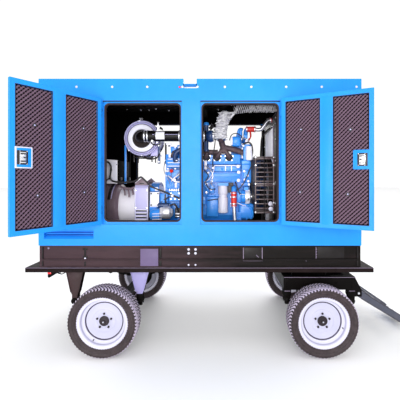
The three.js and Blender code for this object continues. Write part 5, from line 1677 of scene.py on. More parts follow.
def wiring_loom():
    """The loom from the terminal box to the engine."""
    loom = Part()
    route = [(-931, -206, 1640), (-900, -214, 1610), (-893, -214, 1556), (-902, -210, 1479),
             (-859, -214, 1444), (-743, -222, 1437), (-652, -240, 1450), (-606, -250, 1482),
             (-583, -252, 1484), (-541, -256, 1446), (-483, -262, 1394), (-358, -268, 1344),
             (-213, -266, 1280), (-190, -240, 1262)]
    loom.tube(route, 8.5, 14, 8, 0, lambda i, n, a: 1 + 0.03 * math.sin(i * 2.2))
    for x, y, z in ((-893, -214, 1556), (-743, -222, 1437), (-483, -262, 1394), (-358, -268, 1344)):
        loom.lathe([(8, -5), (11, -4), (11, 4), (8, 5)], 16, 1,
                   facing((x, y, z), UP if x == -893 else (1, 0, -0.35)), closed=True)
    loom.tube([(-902, -214, 1476), (-960, -216, 1452), (-1004, -220, 1478), (-1040, -200, 1560),
               (-1200, -150, 1600), (-1236, -140, 1600)], 7, 12, 6, 0)
    # brown wrapping and spare wires lie over the top of the generator
    for k, reach in enumerate((34, 52, 28)):
        x = -790 + k * 40
        loom.tube([(x, -150, 1380), (x + 14, -176, 1366), (x + 26, -196, 1342), (x + 30, -200, 1342 - reach)],
                  8, 10, 4, 2)
    loom.tube([(-820, -176, 1396), (-770, -186, 1380), (-716, -188, 1372), (-664, -194, 1388)], 12, 12, 5, 2)
    loom.done("wiring_loom", "trailer", [RUBBER, BLACK, GEN_DARK], ["wiring_harness"])


def generator():
    generator_frame()
    terminal_box()
    wiring_loom()


generator()


# ---------------------------------------------------------------- engine

# materials of the engine's dressing, by their place in the list
blue, pale, black, steel, dark, silver, red = range(7)


def flywheel_cover(part):
    """A pale cover plate over the flywheel housing, its dark bolts and the housing's ring of bolts."""
    part.box((-502, -414), (-264, -250), (1200, 1344), 4, pale)
    for x in (-490, -426):
        for z in (1218, 1328):
            part.bolt((x, -264, z), RIGHT, 7, black)
    part.box((-500, -416), (-258, -248), (1352, 1392), 4, blue)
    part.box((-452, -424), (-268, -256), (1356, 1390), 2, pale)
    part.dome((-438, -268, 1373), RIGHT, 6, 3, steel)
    for i in range(12):
        t = math.radians(30 * i + 8)
        part.bolt((-440, 232 * math.cos(t), CRANK_Z + 232 * math.sin(t)), AHEAD, 9, steel)


def block_side(part):
    """The block's ribs, core plugs and side covers."""
    for x in (-430, -330, -230, -130, -30, 70):
        part.box((x - 6, x + 6), (-224, -212), (1125, 1325), 3, blue)
    for x in (-380, -180, 20):
        part.lathe([(0, 0), (26, 0), (26, 5), (22, 6), (20, 2), (0, 1)], 28, blue,
                   facing((x, -215, 1262), RIGHT))
    part.box((40, 160), (-232, -214), (1100, 1300), 10, blue, segments=3)
    part.box((46, 154), (-236, -230), (1106, 1294), 4, blue)
    for x, z in ((54, 1114), (146, 1114), (54, 1286), (146, 1286)):
        part.bolt((x, -236, z), RIGHT, 6, blue)
    part.tube([(52, -244, 1262), (100, -246, 1268), (158, -244, 1276)], 4.5, 8, 3, black)
    part.box((40, 150), (-230, -216), (1128, 1136), 3, dark)
    part.box((20, 130), (-240, -214), (1300, 1316), 4, blue)


def sump_flange(part):
    """The sump's flange with its bolts."""
    for i in range(11):
        part.bolt((-410 + i * 82, -196, 1068), RIGHT, 6.5, blue, False)
    part.box((-432, 412), (-196, -150), (1052, 1066), 3, blue)


def starter(part):
    """Blue nose, silver ribbed body, black end and solenoid."""
    part.turned((-500, -290, 1128), (-398, -290, 1128),
                [(0, 0), (22, 0.01), (42, 0.1), (54, 0.3), (57, 0.55), (56, 1), (0, 1)], 36, blue)
    part.turned((-398, -290, 1150), (-276, -290, 1150), [(0, 0), (52, 0), (57, 0.06), (57, 0.3), (50, 0.34),
                                                         (50, 0.42), (58, 0.46), (58, 0.76), (48, 0.82),
                                                         (36, 0.98), (0, 1)], 6, silver)
    part.turned((-372, -290, 1150), (-300, -290, 1150), [(0, 0), (56, 0), (60, 0.1), (60, 0.9), (56, 1),
                                                         (0, 1)], 36, silver)
    # three pale lines across the blue nose: painted highlights
    for i in range(3):
        part.tube([(-462, -345, 1142 - 26 * i), (-420, -349, 1144 - 26 * i), (-372, -350, 1146 - 26 * i)],
                  3.6, 10, 3, pale)
    part.turned((-420, -268, 1216), (-312, -268, 1216), [(0, 0), (23, 0), (25, 0.1), (25, 0.9), (19, 1),
                                                         (0, 1)], 28, dark)
    part.bolt((-312, -268, 1216), AHEAD, 8, steel)
    part.tube([(-304, -268, 1216), (-262, -282, 1226), (-236, -270, 1180), (-222, -250, 1120),
               (-214, -240, 1060)], 9, 12, 6, black)
    part.box((-262, -206), (-262, -220), (1096, 1188), 6, black)
    part.box((-256, -212), (-267, -260), (1128, 1142), 2, pale)
    part.box((-258, -210), (-266, -260), (1104, 1112), 2, steel)
    part.bolt((-234, -262, 1170), RIGHT, 8, steel)


def injection_pump(part):
    """The fuel injection pump with its filter head, above the starter."""
    part.box((-404, -330), (-262, -200), (1236, 1330), 7, blue, segments=3)
    part.box((-326, -196), (-258, -196), (1252, 1352), 8, blue, segments=3)
    for i, x in enumerate((-390, -366, -342)):
        part.bolt((x, -262, 1250 + 24 * (i % 2)), RIGHT, 7, dark)
    part.box((-362, -346), (-268, -262), (1262, 1322), 2, black)
    for i in range(6):
        x = -316 + i * 21
        part.lathe([(0, 0), (8, 0), (8, 14), (5.5, 17), (5.5, 27), (0, 27)], 6, steel,
                   facing((x, -226, 1350), UP))
        top = (x - 60 + i * 64, -158, 1640)
        part.tube([(x, -226, 1376), (x + 2, -236, 1420), (x - 16 + i * 12, -246, 1470),
                   (x - 44 + i * 40, -250, 1520), (top[0], -215, 1570), (top[0], -175, 1622), top], 3.3, 8, 6,
                  steel)
    part.tube([(-300, -262, 1300), (-330, -290, 1290), (-352, -286, 1254), (-340, -270, 1226)], 5.5, 10, 5,
              black)
    for x, z in ((-300, 1275), (-262, 1275), (-222, 1275), (-300, 1330), (-222, 1330)):
        part.bolt((x, -258, z), RIGHT, 6.5, steel)
    part.lathe([(0, 0), (18, 0), (18, 6), (12, 8), (12, 20), (8, 22), (0, 22)], 24, silver,
               facing((-286, -258, 1308), RIGHT))
    part.lathe([(0, 0), (15, 0), (17, 4), (17, 16), (14, 20), (0, 20)], 24, red,
               facing((-300, -250, 1544), (0.4, -1, 0.2)))
    part.lathe([(0, 0), (11, 0), (11, 26), (0, 26)], 16, pale, facing((-345, -242, 1545), (0.9, -0.2, 0.1)))


def cooler_plates(part):
    """Cooler plates and a ribbed case on the upper block."""
    part.box((-350, -178), (-236, -198), (1372, 1460), 8, blue, segments=3)
    for i in range(4):
        part.box((-300 + i * 34, -280 + i * 34), (-242, -234), (1384, 1448), 3, pale if i % 2 else blue)
    part.box((-340, -184), (-240, -198), (1478, 1560), 6, blue, segments=3)
    for i in range(5):
        part.box((-336, -188), (-246, -238), (1590 + i * 17, 1598 + i * 17), 2, pale if i % 2 == 0 else blue)
    part.box((-344, -180), (-240, -160), (1580, 1676), 6, blue, segments=3)
    for x in (-332, -262, -192):
        part.bolt((x, -240, 1568), RIGHT, 7, pale)
    part.tube([(-330, -250, 1500), (-296, -262, 1476), (-262, -262, 1446), (-214, -256, 1440)], 9, 12, 5,
              silver)
    part.tube([(-296, -256, 1448), (-270, -266, 1478), (-236, -262, 1502), (-196, -250, 1536)], 7, 12, 5,
              silver)
    part.bolt((-262, -264, 1462), RIGHT, 11, pale)
    part.tube([(-204, -246, 1610), (-190, -258, 1560), (-214, -262, 1508), (-202, -256, 1460)], 5, 10, 5,
              black)


def head_rear(part):
    """Blue housings at the head's rear, and a dark elbow over them."""
    part.box((-310, -250), (-226, -150), (1700, 1786), 8, blue, segments=3)
    part.box((-244, -176), (-236, -150), (1712, 1800), 8, blue, segments=3)
    part.lathe([(0, 0), (26, 0), (26, 8), (18, 12), (0, 12)], 28, pale, facing((-208, -238, 1768), RIGHT))
    for x, z in ((-300, 1712), (-262, 1776), (-232, 1724), (-188, 1724)):
        part.bolt((x, -232, z), RIGHT, 8, pale)
    part.tube([(-160, -262, 1746), (-214, -268, 1744), (-252, -262, 1716), (-262, -250, 1668),
               (-256, -236, 1640)], 24, 20, 7, dark)
    part.clamp((-248, -240, 1652), (0.1, -0.3, 1), 25, 9, steel)
    part.box((-330, -308), (-222, -200), (1676, 1810), 3, pale)
    part.box((-352, -300), (-240, -218), (1800, 1816), 3, pale)
    part.bolt((-322, -240, 1790), RIGHT, 7, black)


def water_manifold(part):
    """The long blue water manifold with its bosses, and the rail above it."""
    part.box((-96, 368), (-252, -240), (1442, 1528), 8, blue, segments=3)
    part.box((-88, 360), (-258, -250), (1478, 1496), 5, blue)
    part.box((116, 372), (-226, -196), (1594, 1604), 2, pale)
    part.box((116, 372), (-232, -196), (1540, 1592), 6, blue, segments=3)
    for x in (226, 284):
        part.box((x - 5, x + 5), (-238, -228), (1546, 1600), 2, pale)
    for i in range(6):
        x = -70 + i * 84
        part.bolt((x, -256, 1518), RIGHT, 7.5, blue)
        part.bolt((x + 30, -256, 1452), RIGHT, 7.5, blue)
        part.dome((x + 12, -232, 1566), RIGHT, 13, 6, blue)
    for x, z in ((346, 1590), (352, 1534), (350, 1456)):
        part.lathe([(0, 0), (16, 0), (16, 8), (10, 12), (0, 12)], 24, pale, facing((x, -252, z), RIGHT))
    part.box((-362, 374), (-206, -150), (1612, 1712), 8, blue, segments=3)
    for i in range(7):
        part.box((-352 + i * 112, -330 + i * 112), (-212, -200), (1618, 1660), 4, blue)


def injectors(part):
    """Injector tops and the fuel rail on the head."""
    part.tube([(-380, -164, 1655), (-100, -166, 1658), (120, -166, 1658), (372, -164, 1655)], 8, 14, 8,
              silver)
    for i in range(6):
        x = -330 + i * 136
        part.lathe([(0, 0), (17, 0), (17, 12), (12, 16), (12, 34), (7, 38), (0, 38)], 20, blue,
                   facing((x + 40, -128, 1640), (0, -0.2, 1)))
        part.bolt((x + 66, -152, 1650), RIGHT, 7, steel)
    for i in range(7):
        part.bolt((-350 + i * 96, -111, 1652), RIGHT, 6, steel, False)
        part.bolt((-350 + i * 96, 111, 1652), LEFT, 6, steel, False)
    for x in (-300, -55, 190):
        part.box((x - 70, x + 70), (-84, 84), (1708, 1716), 3, blue)
    part.lathe([(0, 0), (30, 0), (32, 4), (32, 16), (28, 20), (0, 20)], 12, black, facing((-55, 0, 1715), UP))


def side_lines(part):
    """Oil and fuel lines on the block, between the doorways' edges."""
    part.tube([(0, -250, 1500), (-10, -262, 1440), (30, -268, 1400), (60, -262, 1340), (50, -246, 1300)], 6,
              12, 6, blue)
    part.tube([(20, -246, 1560), (60, -262, 1500), (36, -270, 1440), (70, -270, 1376), (128, -256, 1372)],
              4.5, 10, 6, black)
    part.tube([(30, -240, 1600), (80, -262, 1556), (104, -266, 1500), (86, -262, 1430), (112, -250, 1392)], 5,
              10, 6, steel)
    part.tube([(24, -250, 1440), (70, -266, 1470), (110, -266, 1540), (118, -250, 1600)], 4, 10, 6, pale)
    for x, z in ((40, 1420), (92, 1448), (60, 1530), (104, 1576), (86, 1366), (40, 1340)):
        part.bolt((x, -252, z), RIGHT, 9, pale if z % 20 else steel)
    part.box((74, 116), (-252, -214), (1330, 1420), 6, blue, segments=3)
    part.box((30, 66), (-250, -214), (1336, 1396), 6, blue, segments=3)
    part.box((20, 46), (-240, -200), (1560, 1650), 5, pale)


def breather(part):
    """The breather pipe behind the doorway's edge, with its blue cap."""
    part.turned((40, -246, 1736), (40, -246, 1990), [(0, 0), (24, 0), (24, 0.08), (22, 0.1), (22, 0.9),
                                                     (24, 0.92), (24, 1), (0, 1)], 28, dark)
    part.turned((40, -246, 1986), (40, -246, 2016), [(0, 0), (27, 0), (27, 0.6), (20, 1), (0, 1)], 28, blue)
    part.box((10, 70), (-240, -150), (1728, 1740), 2, black)


def thermostat(part):
    """The thermostat housing on its tower, with the cable that arches over it."""
    part.box((286, 376), (-250, -150), (1786, 1884), 22, blue, segments=4)
    part.box((280, 294), (-254, -200), (1800, 1872), 3, pale)
    part.lathe([(0, 0), (34, 0), (34, 8), (26, 12), (0, 12)], 32, blue, facing((330, -250, 1836), RIGHT))
    part.tube([(262, -262, 1840), (284, -272, 1892), (330, -276, 1906), (378, -268, 1880), (392, -262, 1830)],
              4.6, 10, 6, black)
    part.turned((376, -180, 1870), (376, -180, 1962), [(0, 0), (18, 0), (18, 0.8), (22, 0.84), (22, 1),
                                                       (0, 1)], 24, blue)
    part.tube([(342, -190, 1880), (352, -200, 1930), (366, -196, 1958), (392, -150, 1966)], 13, 14, 5, blue)
    part.box((386, 470), (-236, -160), (1780, 1806), 5, blue)
    part.tube([(392, -240, 1800), (440, -262, 1822), (474, -262, 1800), (486, -252, 1740), (480, -246, 1690)],
              8.5, 12, 6, black)
    part.tube([(400, -250, 1868), (430, -262, 1850), (446, -258, 1836)], 6, 10, 4, steel)
    for x, z in ((398, 1792), (426, 1836), (386, 1856), (452, 1876)):
        part.bolt((x, -244, z), RIGHT, 9, pale)
    part.box((404, 440), (-240, -200), (1862, 1900), 5, blue)


def canister(part):
    """The white canister under the thermostat, on its tower."""
    part.turned((456, -236, 1652), (456, -236, 1786), [(0, 0), (30, 0), (35, 0.05), (35, 0.84), (33, 0.88),
                                                       (36, 0.9), (36, 0.97), (30, 1), (0, 1)], 36, pale)
    part.dome((456, -271, 1730), RIGHT, 9, 3, silver)
    part.box((400, 440), (-232, -150), (1640, 1790), 6, blue, segments=3)
    part.box((380, 476), (-238, -150), (1610, 1650), 6, blue, segments=3)
    part.tube([(468, -262, 1650), (474, -272, 1600), (450, -276, 1540), (420, -276, 1470), (372, -280, 1392),
               (330, -276, 1362)], 5, 10, 7, black)
    part.tube([(486, -262, 1640), (492, -262, 1560), (486, -262, 1420), (476, -262, 1380)], 3.6, 8, 6, black)
    part.box((384, 476), (-226, -150), (1430, 1616), 8, blue, segments=3)
    part.box((396, 450), (-244, -150), (1440, 1560), 9, blue, segments=3)
    part.box((384, 462), (-240, -150), (1398, 1436), 8, blue, segments=3)
    for x, z in ((406, 1544), (440, 1502), (410, 1462), (446, 1448), (392, 1418), (452, 1416)):
        part.lathe([(0, 0), (13, 0), (13, 7), (8, 10), (0, 10)], 6, pale, facing((x, -244, z), RIGHT))


def timing_case(part):
    """The timing case, the water pump and the black filter bracket."""
    part.box((250, 282), (-296, -220), (1340, 1408), 3, black)
    part.box((256, 300), (-290, -220), (1398, 1432), 4, black)
    part.tube([(303, -150, 1390), (303, -230, 1390), (303, -276, 1376), (304, -288, 1344)], 25, 20, 6, blue)
    part.box((330, 402), (-276, -196), (1240, 1362), 12, blue, segments=3)
    part.box((338, 392), (-282, -270), (1256, 1346), 4, blue)
    part.box((352, 500), (-258, -170), (1080, 1236), 26, blue, segments=4)
    part.tube([(360, -262, 1226), (420, -268, 1222), (470, -262, 1190), (486, -256, 1130), (470, -250, 1086)],
              12, 14, 6, blue)
    for x, z in ((372, 1100), (372, 1206), (430, 1086), (482, 1206)):
        part.bolt((x, -258, z), RIGHT, 8, blue)
    part.tube([(334, -276, 1240), (360, -284, 1232), (390, -282, 1218), (420, -276, 1212)], 3.6, 8, 4, pale)
    part.box((-30, 34), (-262, -214), (1222, 1300), 6, blue, segments=3)


def oil_filter():
    """The white oil filter can with its black seal."""
    filters = Part()
    filters.turned((201, -262, 1145), (201, -262, 1404),
                   [(0, 0), (40, 0), (45, 0.02), (46, 0.05), (46, 0.54), (44, 0.56), (38, 0.58), (38, 0.68),
                    (44, 0.695), (46, 0.71), (46, 0.96), (44, 0.97), (44, 1), (0, 1)], 48, 0)
    filters.turned((201, -262, 1400), (201, -262, 1408), [(0, 0), (43, 0), (43, 1), (0, 1)], 40, 1)
    for i in range(12):
        t = math.radians(30 * i)
        filters.box((43.5, 47), (-5, 5), (2, 26), 1, 0,
                    Matrix.Translation((201, -262, 1147)) @ Matrix.Rotation(t, 4, "Z"))
    filters.done("oil_filter_cans", "trailer", [WHITE, RUBBER], ["oil_filter"])


def engine_right():
    """What shows in the right-hand doorways, from the flywheel to the fan."""
    dress("engine_block", ENGINE, 0.004, 3)
    dress("valve_cover", ENGINE, 0.006, 3)
    dress("oil_sump", ENGINE, 0.006, 3)
    part = Part()
    for add in (flywheel_cover, block_side, sump_flange, starter, injection_pump, cooler_plates, head_rear,
                water_manifold, injectors, side_lines, breather, thermostat, canister, timing_case):
        add(part)
    part.done("engine_dressing_right", "trailer", [ENGINE, WHITE_TRIM_AND_HIGHLIGHT, RUBBER, STEEL, ENGINE_DARK,
                                                   CAST_SILVER, RED], ["starter_motor"], 34)
    oil_filter()


def charge_air(part):
    """The charge-air log with its branches, injection lines and the block's covers."""
    part.box((-330, 400), (158, 236), (1556, 1636), 16, blue, segments=4)
    part.rod((-340, 200, 1596), (-330, 200, 1596), 34, 28, 2, steel)
    for x in (-272, -150, -28, 94, 216, 338):
        part.tube([(x, 226, 1572), (x, 244, 1548), (x, 238, 1512), (x, 212, 1500)], 23, 16, 5, blue)
        part.tube([(x + 30, 206, 1660), (x + 34, 236, 1668), (x + 36, 256, 1620), (x + 30, 250, 1520),
                   (x * 0.3 - 20, 262, 1452)], 3.6, 8, 6, steel)
        part.bolt((x - 34, 236, 1596), LEFT, 8, pale)
        part.lathe([(0, 0), (13, 0), (13, 14), (9, 20), (0, 22)], 6, steel, facing((x + 30, 168, 1640), UP))
    for low in (-340, -84, 172):
        part.box((low, low + 236), (214, 224), (1200, 1310), 8, blue, segments=3)
        part.box((low + 10, low + 226), (222, 227), (1210, 1300), 5, dark, segments=3)
        for x in (low + 12, low + 118, low + 224):
            for z in (1212, 1298):
                part.bolt((x, 224, z), LEFT, 7, pale)
    for z in (1334, 1346, 1528):
        part.box((-364, 438), (198, 208), (z, z + 7), 2, blue)


def left_pump(part):
    """The injection pump with its heads, and the feed filter beside it."""
    part.turned((-180, 262, 1420), (60, 262, 1420), [(0, 0), (34, 0), (40, 0.04), (46, 0.1), (46, 0.5),
                                                     (40, 0.53), (40, 0.84), (48, 0.88), (48, 1), (0, 1)], 32,
                dark)
    part.box((-190, 40), (206, 262), (1376, 1412), 6, blue)
    for i in range(6):
        part.turned((-160 + 30 * i, 262, 1450), (-160 + 30 * i, 262, 1486),
                    [(0, 0), (11, 0), (11, 0.6), (7, 0.7), (7, 1), (0, 1)], 16, steel)
    part.turned((300, 270, 1290), (300, 270, 1470), [(0, 0), (40, 0), (46, 0.05), (46, 0.8), (42, 0.84),
                                                     (42, 1), (0, 1)], 36, pale)
    part.box((250, 350), (206, 316), (1470, 1500), 8, blue, segments=3)
    part.tube([(330, 300, 1488), (356, 312, 1470), (352, 306, 1400), (300, 290, 1240), (180, 262, 1180),
               (60, 250, 1100)], 8, 12, 7, black)
    part.tube([(268, 300, 1488), (200, 306, 1500), (120, 290, 1470), (66, 266, 1430)], 8, 12, 6, black)


def left_lines(part):
    """Breather, dipstick and the main wiring duct."""
    part.tube([(-250, 216, 1180), (-256, 240, 1260), (-262, 250, 1420), (-266, 246, 1560), (-268, 230, 1690)],
              6, 12, 6, steel)
    part.lathe([(10, -4), (20, -4), (20, 4), (10, 4)], 20, black, Matrix.Translation((-268, 230, 1704)),
               closed=True)
    part.tube([(-360, 214, 1360), (-200, 226, 1352), (60, 230, 1350), (300, 226, 1356), (420, 214, 1400),
               (452, 206, 1520)], 11, 14, 7, black, lambda i, n, a: 1 + 0.05 * math.sin(i * 2.4))
    for x in (-280, -60, 160, 360):
        part.clamp((x, 227, 1352), AHEAD, 12, 9, steel)
    part.turned((-330, 246, 1000), (-330, 246, 1130), [(0, 0), (44, 0), (52, 0.06), (52, 0.9), (46, 0.96),
                                                       (0, 1)], 36, blue)
    part.box((-380, -280), (206, 250), (1130, 1160), 6, blue)
    part.box((60, 220), (214, 236), (1010, 1110), 9, dark, segments=3)


def engine_left():
    """What the left-hand doors show."""
    part = Part()
    for add in (charge_air, left_pump, left_lines):
        add(part)
    part.done("engine_dressing_left", "trailer", [ENGINE, WHITE_TRIM_AND_HIGHLIGHT, RUBBER, STEEL, ENGINE_DARK],
              (), 34)


def hoses():
    """The two red coolant hoses and the steel pipes they join."""
    upper = Part()
    upper.tube([(378, -60, 1850), (412, -72, 1858), (428, -92, 1890), (430, -108, 1930), (440, -118, 1962),
                (462, -120, 1967)], 23, 20, 6, 1)
    upper.tube([(432, -122, 1967), (478, -126, 1968), (528, -122, 1968)], 28, 28, 8, 0,
               lambda i, n, a: 1 + 0.02 * math.sin(i * 2.4))
    for x in (440, 520):
        upper.clamp((x, -122, 1968), AHEAD, 29.5, 12, 2)
    upper.tube([(520, -122, 1968), (560, -121, 1964), (588, -121, 1972), (612, -121, 2000), (650, -120, 2052),
                (690, -120, 2062)], 19, 20, 7, 2)
    upper.tube([(676, -120, 2058), (691, -120, 2062)], 24, 20, 2, 0)
    upper.clamp((680, -120, 2060), (1, 0, 0.1), 25, 9, 2)
    upper.tube([(474, -140, 1944), (478, -150, 1900), (466, -160, 1870), (452, -170, 1846)], 9, 12, 5, 0)
    upper.done("upper_hose", "trailer", [RED_HOSE, ENGINE, STEEL], ["coolant_hose_upper"])

    lower = Part()
    lower.tube([(304, -288, 1346), (304, -291, 1290), (306, -292, 1240), (307, -294, 1204)], 27, 28, 8, 0,
               lambda i, n, a: 1 + 0.02 * math.sin(i * 2.1))
    for z in (1336, 1298, 1232, 1212):
        lower.clamp((305, -291, z), UP, 28.5, 11 if z in (1298, 1232) else 7, 1)
    lower.tube([(307, -294, 1206), (309, -312, 1140), (314, -340, 1070), (326, -350, 1026), (360, -344, 1004),
                (430, -315, 1000), (520, -268, 1000)], 18, 20, 7, 1)
    lower.tube([(506, -272, 1000), (600, -262, 1000), (690, -262, 1000)], 24, 22, 6, 0)
    for x in (516, 680):
        lower.clamp((x, -265, 1000), AHEAD, 25.5, 10, 1)
    lower.done("lower_hose", "trailer", [RED_HOSE, STEEL], ["coolant_hose_lower"])


engine_right()
engine_left()
hoses()


# ---------------------------------------------------------------- front of the engine

def charging_alternator():
    """The charging alternator and its pulley."""
    charger = Part()
    spin = facing((0, *CHARGER), AHEAD)
    charger.lathe([(0, 372), (46, 372), (54, 376), (58, 384), (58, 404), (62, 406), (62, 412), (0, 412)], 40,
                  0, spin)
    charger.lathe([(0, 410), (62, 410), (62, 440), (60, 452), (52, 460), (40, 463), (0, 463)], 40, 1, spin)
    charger.lathe([(0, 462), (22, 462), (22, 473), (0, 473)], 24, 2, spin)
    for i in range(18):
        t = math.radians(20 * i)
        fin = Matrix.Translation((0, *CHARGER)) @ Matrix.Rotation(t, 4, "X")
        charger.box((414, 456), (-2.4, 2.4), (59, 65), 1, 1, fin)
        charger.box((458, 464), (-3.5, 3.5), (26, 54), 1, 3, fin)
    for t in (0.6, 2.7, 4.8):
        bolt = (CHARGER[0] + 55 * math.cos(t), CHARGER[1] + 55 * math.sin(t))
        charger.rod((376, *bolt), (461, *bolt), 5, 10, 1, 2)
    charger.rod((366, -300, 1322), (374, -300, 1322), 8, 12, 1, 2)
    charger.tube([(368, -300, 1322), (350, -306, 1350), (330, -296, 1410), (320, -270, 1440)], 6, 10, 5, 4)
    charger.lathe([(0, 0), (9, 0), (9, 3), (0, 3)], 16, 3, facing((440, -345, 1280), RIGHT))
    charger.done("alternator_body", "trailer", [ENGINE, CAST_SILVER, STEEL, BLACK, RUBBER],
                 ["charge_alternator"])

    pulley = Part(spin)
    pulley.lathe([(12, 474.5), (30, 474.5), (36, 476), (36, 478.5), (31, 481), (36, 483.5), (36, 485),
                  (31, 487.5), (36, 490), (36, 495), (30, 497), (12, 497)], 36, 0, closed=True)
    pulley.lathe([(0, 474.5), (13, 474.5), (13, 500), (0, 500)], 6, 1)
    for i in range(6):
        t = math.radians(60 * i)
        pulley.box((16, 29), (-2, 2), (475, 499), 0.8, 0, Matrix.Rotation(t, 4, "Z"))
    pulley.done("alternator_wheel", "alternator_rotor", [TURNED, STEEL], ["alternator_pulley"])


def crankshaft():
    """The crank pulley, the shaft and the generator's rotor."""
    crank = Part(facing((0, 0, CRANK_Z), AHEAD))
    crank.lathe([(0, 471), (60, 471), (74, 475), (75, 478), (69, 481), (75, 484), (75, 487), (69, 490),
                 (75, 493), (75, 496), (60, 498), (52, 492), (30, 492), (28, 498), (0, 498)], 48, 0)
    crank.lathe([(0, -548), (25, -548), (25, 472), (0, 472)], 32, 1)
    crank.lathe([(0, -990), (112, -990), (138, -978), (140, -965), (140, -760), (136, -756), (136, -752),
                 (140, -748), (140, -570), (136, -552), (60, -545), (0, -545)], 64, 2)
    for i in range(8):
        t = math.radians(45 * i)
        blade = Matrix.Rotation(t, 4, "Z")
        crank.box((60, 139), (-4, 4), (-566, -548), 2, 1, blade)
        crank.lathe([(0, 0), (5, 0), (5, 5), (0, 5)], 6, 1, blade @ Matrix.Translation((42, 0, 492)))
    for k in range(7):
        z = -955 + k * 28
        crank.lathe([(139.5, z), (141.5, z + 2), (141.5, z + 4), (139.5, z + 6)], 48, 3, closed=True)
    crank.done("crankshaft_and_rotor", "crankshaft", [TURNED, STEEL, IRON, COPPER],
               ["crankshaft"])


def cooling_fan():
    """The fan's hub and its six curved blades."""
    fan = Part(facing((0, 0, FAN_Z), AHEAD))
    fan.lathe([(0, 474), (52, 474), (60, 477), (60, 480), (54, 483), (60, 486), (60, 489), (54, 492),
               (60, 495), (52, 497), (0, 497)], 40, 0)
    fan.lathe([(0, 490), (20, 490), (20, 590), (58, 592), (61, 598), (61, 632), (56, 640), (0, 642)], 40, 0)
    for i in range(6):
        turn = Matrix.Rotation(math.radians(60 * i), 4, "Z")
        grid = []
        for j in range(9):
            r = 56 + 194 * j / 8
            chord = 36 + 18 * j / 8
            pitch = math.radians(42 - 14 * j / 8)
            for k in range(7):
                c = (k / 6 - 0.5) * 2 * chord
                camber = 7 * (1 - (c / chord) ** 2)
                grid.append((r, c * math.cos(pitch) - camber * math.sin(pitch),
                             612 + c * math.sin(pitch) + camber * math.cos(pitch)))
        piece = bmesh.new()
        for lift in (0, 3.5):
            verts = [piece.verts.new((x, y, z + lift)) for x, y, z in grid]
            for j in range(8):
                for k in range(6):
                    a = j * 7 + k
                    piece.faces.new((verts[a], verts[a + 1], verts[a + 8], verts[a + 7]))
        piece.verts.ensure_lookup_table()
        rim = ([j * 7 for j in range(9)] + [56 + k for k in range(1, 7)]
               + [j * 7 + 6 for j in range(7, -1, -1)] + list(range(5, 0, -1)))
        for a, b in zip(rim, rim[1:] + rim[:1]):
            piece.faces.new((piece.verts[a], piece.verts[b], piece.verts[b + 63], piece.verts[a + 63]))
        bmesh.ops.recalc_face_normals(piece, faces=piece.faces)
        fan.take(piece, 1, turn)
        for x in (70, 92):
            fan.bolt(turn @ Vector((x, 0, 622)), UP, 6, 2, False)
    fan.done("fan_blades", "fan", [ENGINE_DARK, BLACK, STEEL], ["cooling_fan"])


def fan_cage():
    """The guard round the fan and the drive belt."""
    cage = Part()
    ribs = [1150 + 42.6 * i for i in range(13)]
    for _, hand in SIDES:
        y = hand * 322
        for x in (508, 680):
            cage.box((x - 6, x + 6), (y - 8, y + 8), (1140, 1690), 2, 0)
        for z in ribs:
            cage.box((512, 676), (y - 4, y + 4), (z - 5, z + 5), 2.5, 0)
        cage.box((505, 683), (y - 7, y + 7), (1415, 1432), 3, 0)
        cage.rod((590, y + hand * 5, 1146), (590, y + hand * 5, 1684), 4, 12, 1, 1)
        cage.box((640, 680), (y - 8, y + 8), (893, 1146), 3, 1)
        for z in (1156, 1245, 1424, 1600, 1674):
            cage.bolt((680, y + hand * 8, z), (0, hand, 0), 7, 2)
            cage.bolt((508, y + hand * 8, z), (0, hand, 0), 6, 2)
        for x, z in ((648, 1236), (712, 1214), (652, 1188)):
            cage.lathe([(0, 0), (20, 0), (22, 3), (20, 9), (12, 12), (12, 20), (8, 23), (0, 23)], 24, 3,
                       facing((x, y + hand * (6 if x < 690 else 30), z), (0, hand, 0)))
    for z in (1148, 1682):
        for y in (-240, -120, 0, 120, 240):
            cage.box((512, 676), (y - 5, y + 5), (z - 5, z + 5), 2, 0)
        for x in (508, 680):
            cage.box((x - 6, x + 6), (-326, 326), (z - 6, z + 6), 2, 0)
    # sheet belt guard on the left-hand side, with rows of black discs for its holes, painted shade for their
    # dark insides
    cage.box((500, 676), (300, 306), (1150, 1684), 3, 4)
    cage.box((452, 504), (296, 302), (1100, 1640), 3, 4)
    for j in range(17):
        for i in range(6):
            cage.lathe([(0, 0), (7, 0), (7, 1.5), (0, 1.5)], 12, 1,
                       facing((524 + 26 * i, 306, 1176 + 30 * j), LEFT))
    # shroud ring against the radiator
    cage.lathe([(268, 640), (276, 640), (280, 688), (272, 688)], 64, 1,
               facing((0, 0, FAN_Z), AHEAD), closed=True)
    cage.box((684, 689), (-330, 330), (1140, 1150), 1, 1)
    cage.done("fan_cage", "trailer", [CAGE, BLACK_PAINT, BRIGHT, WHITE, ENGINE_DARK],
              ["fan_guard"])


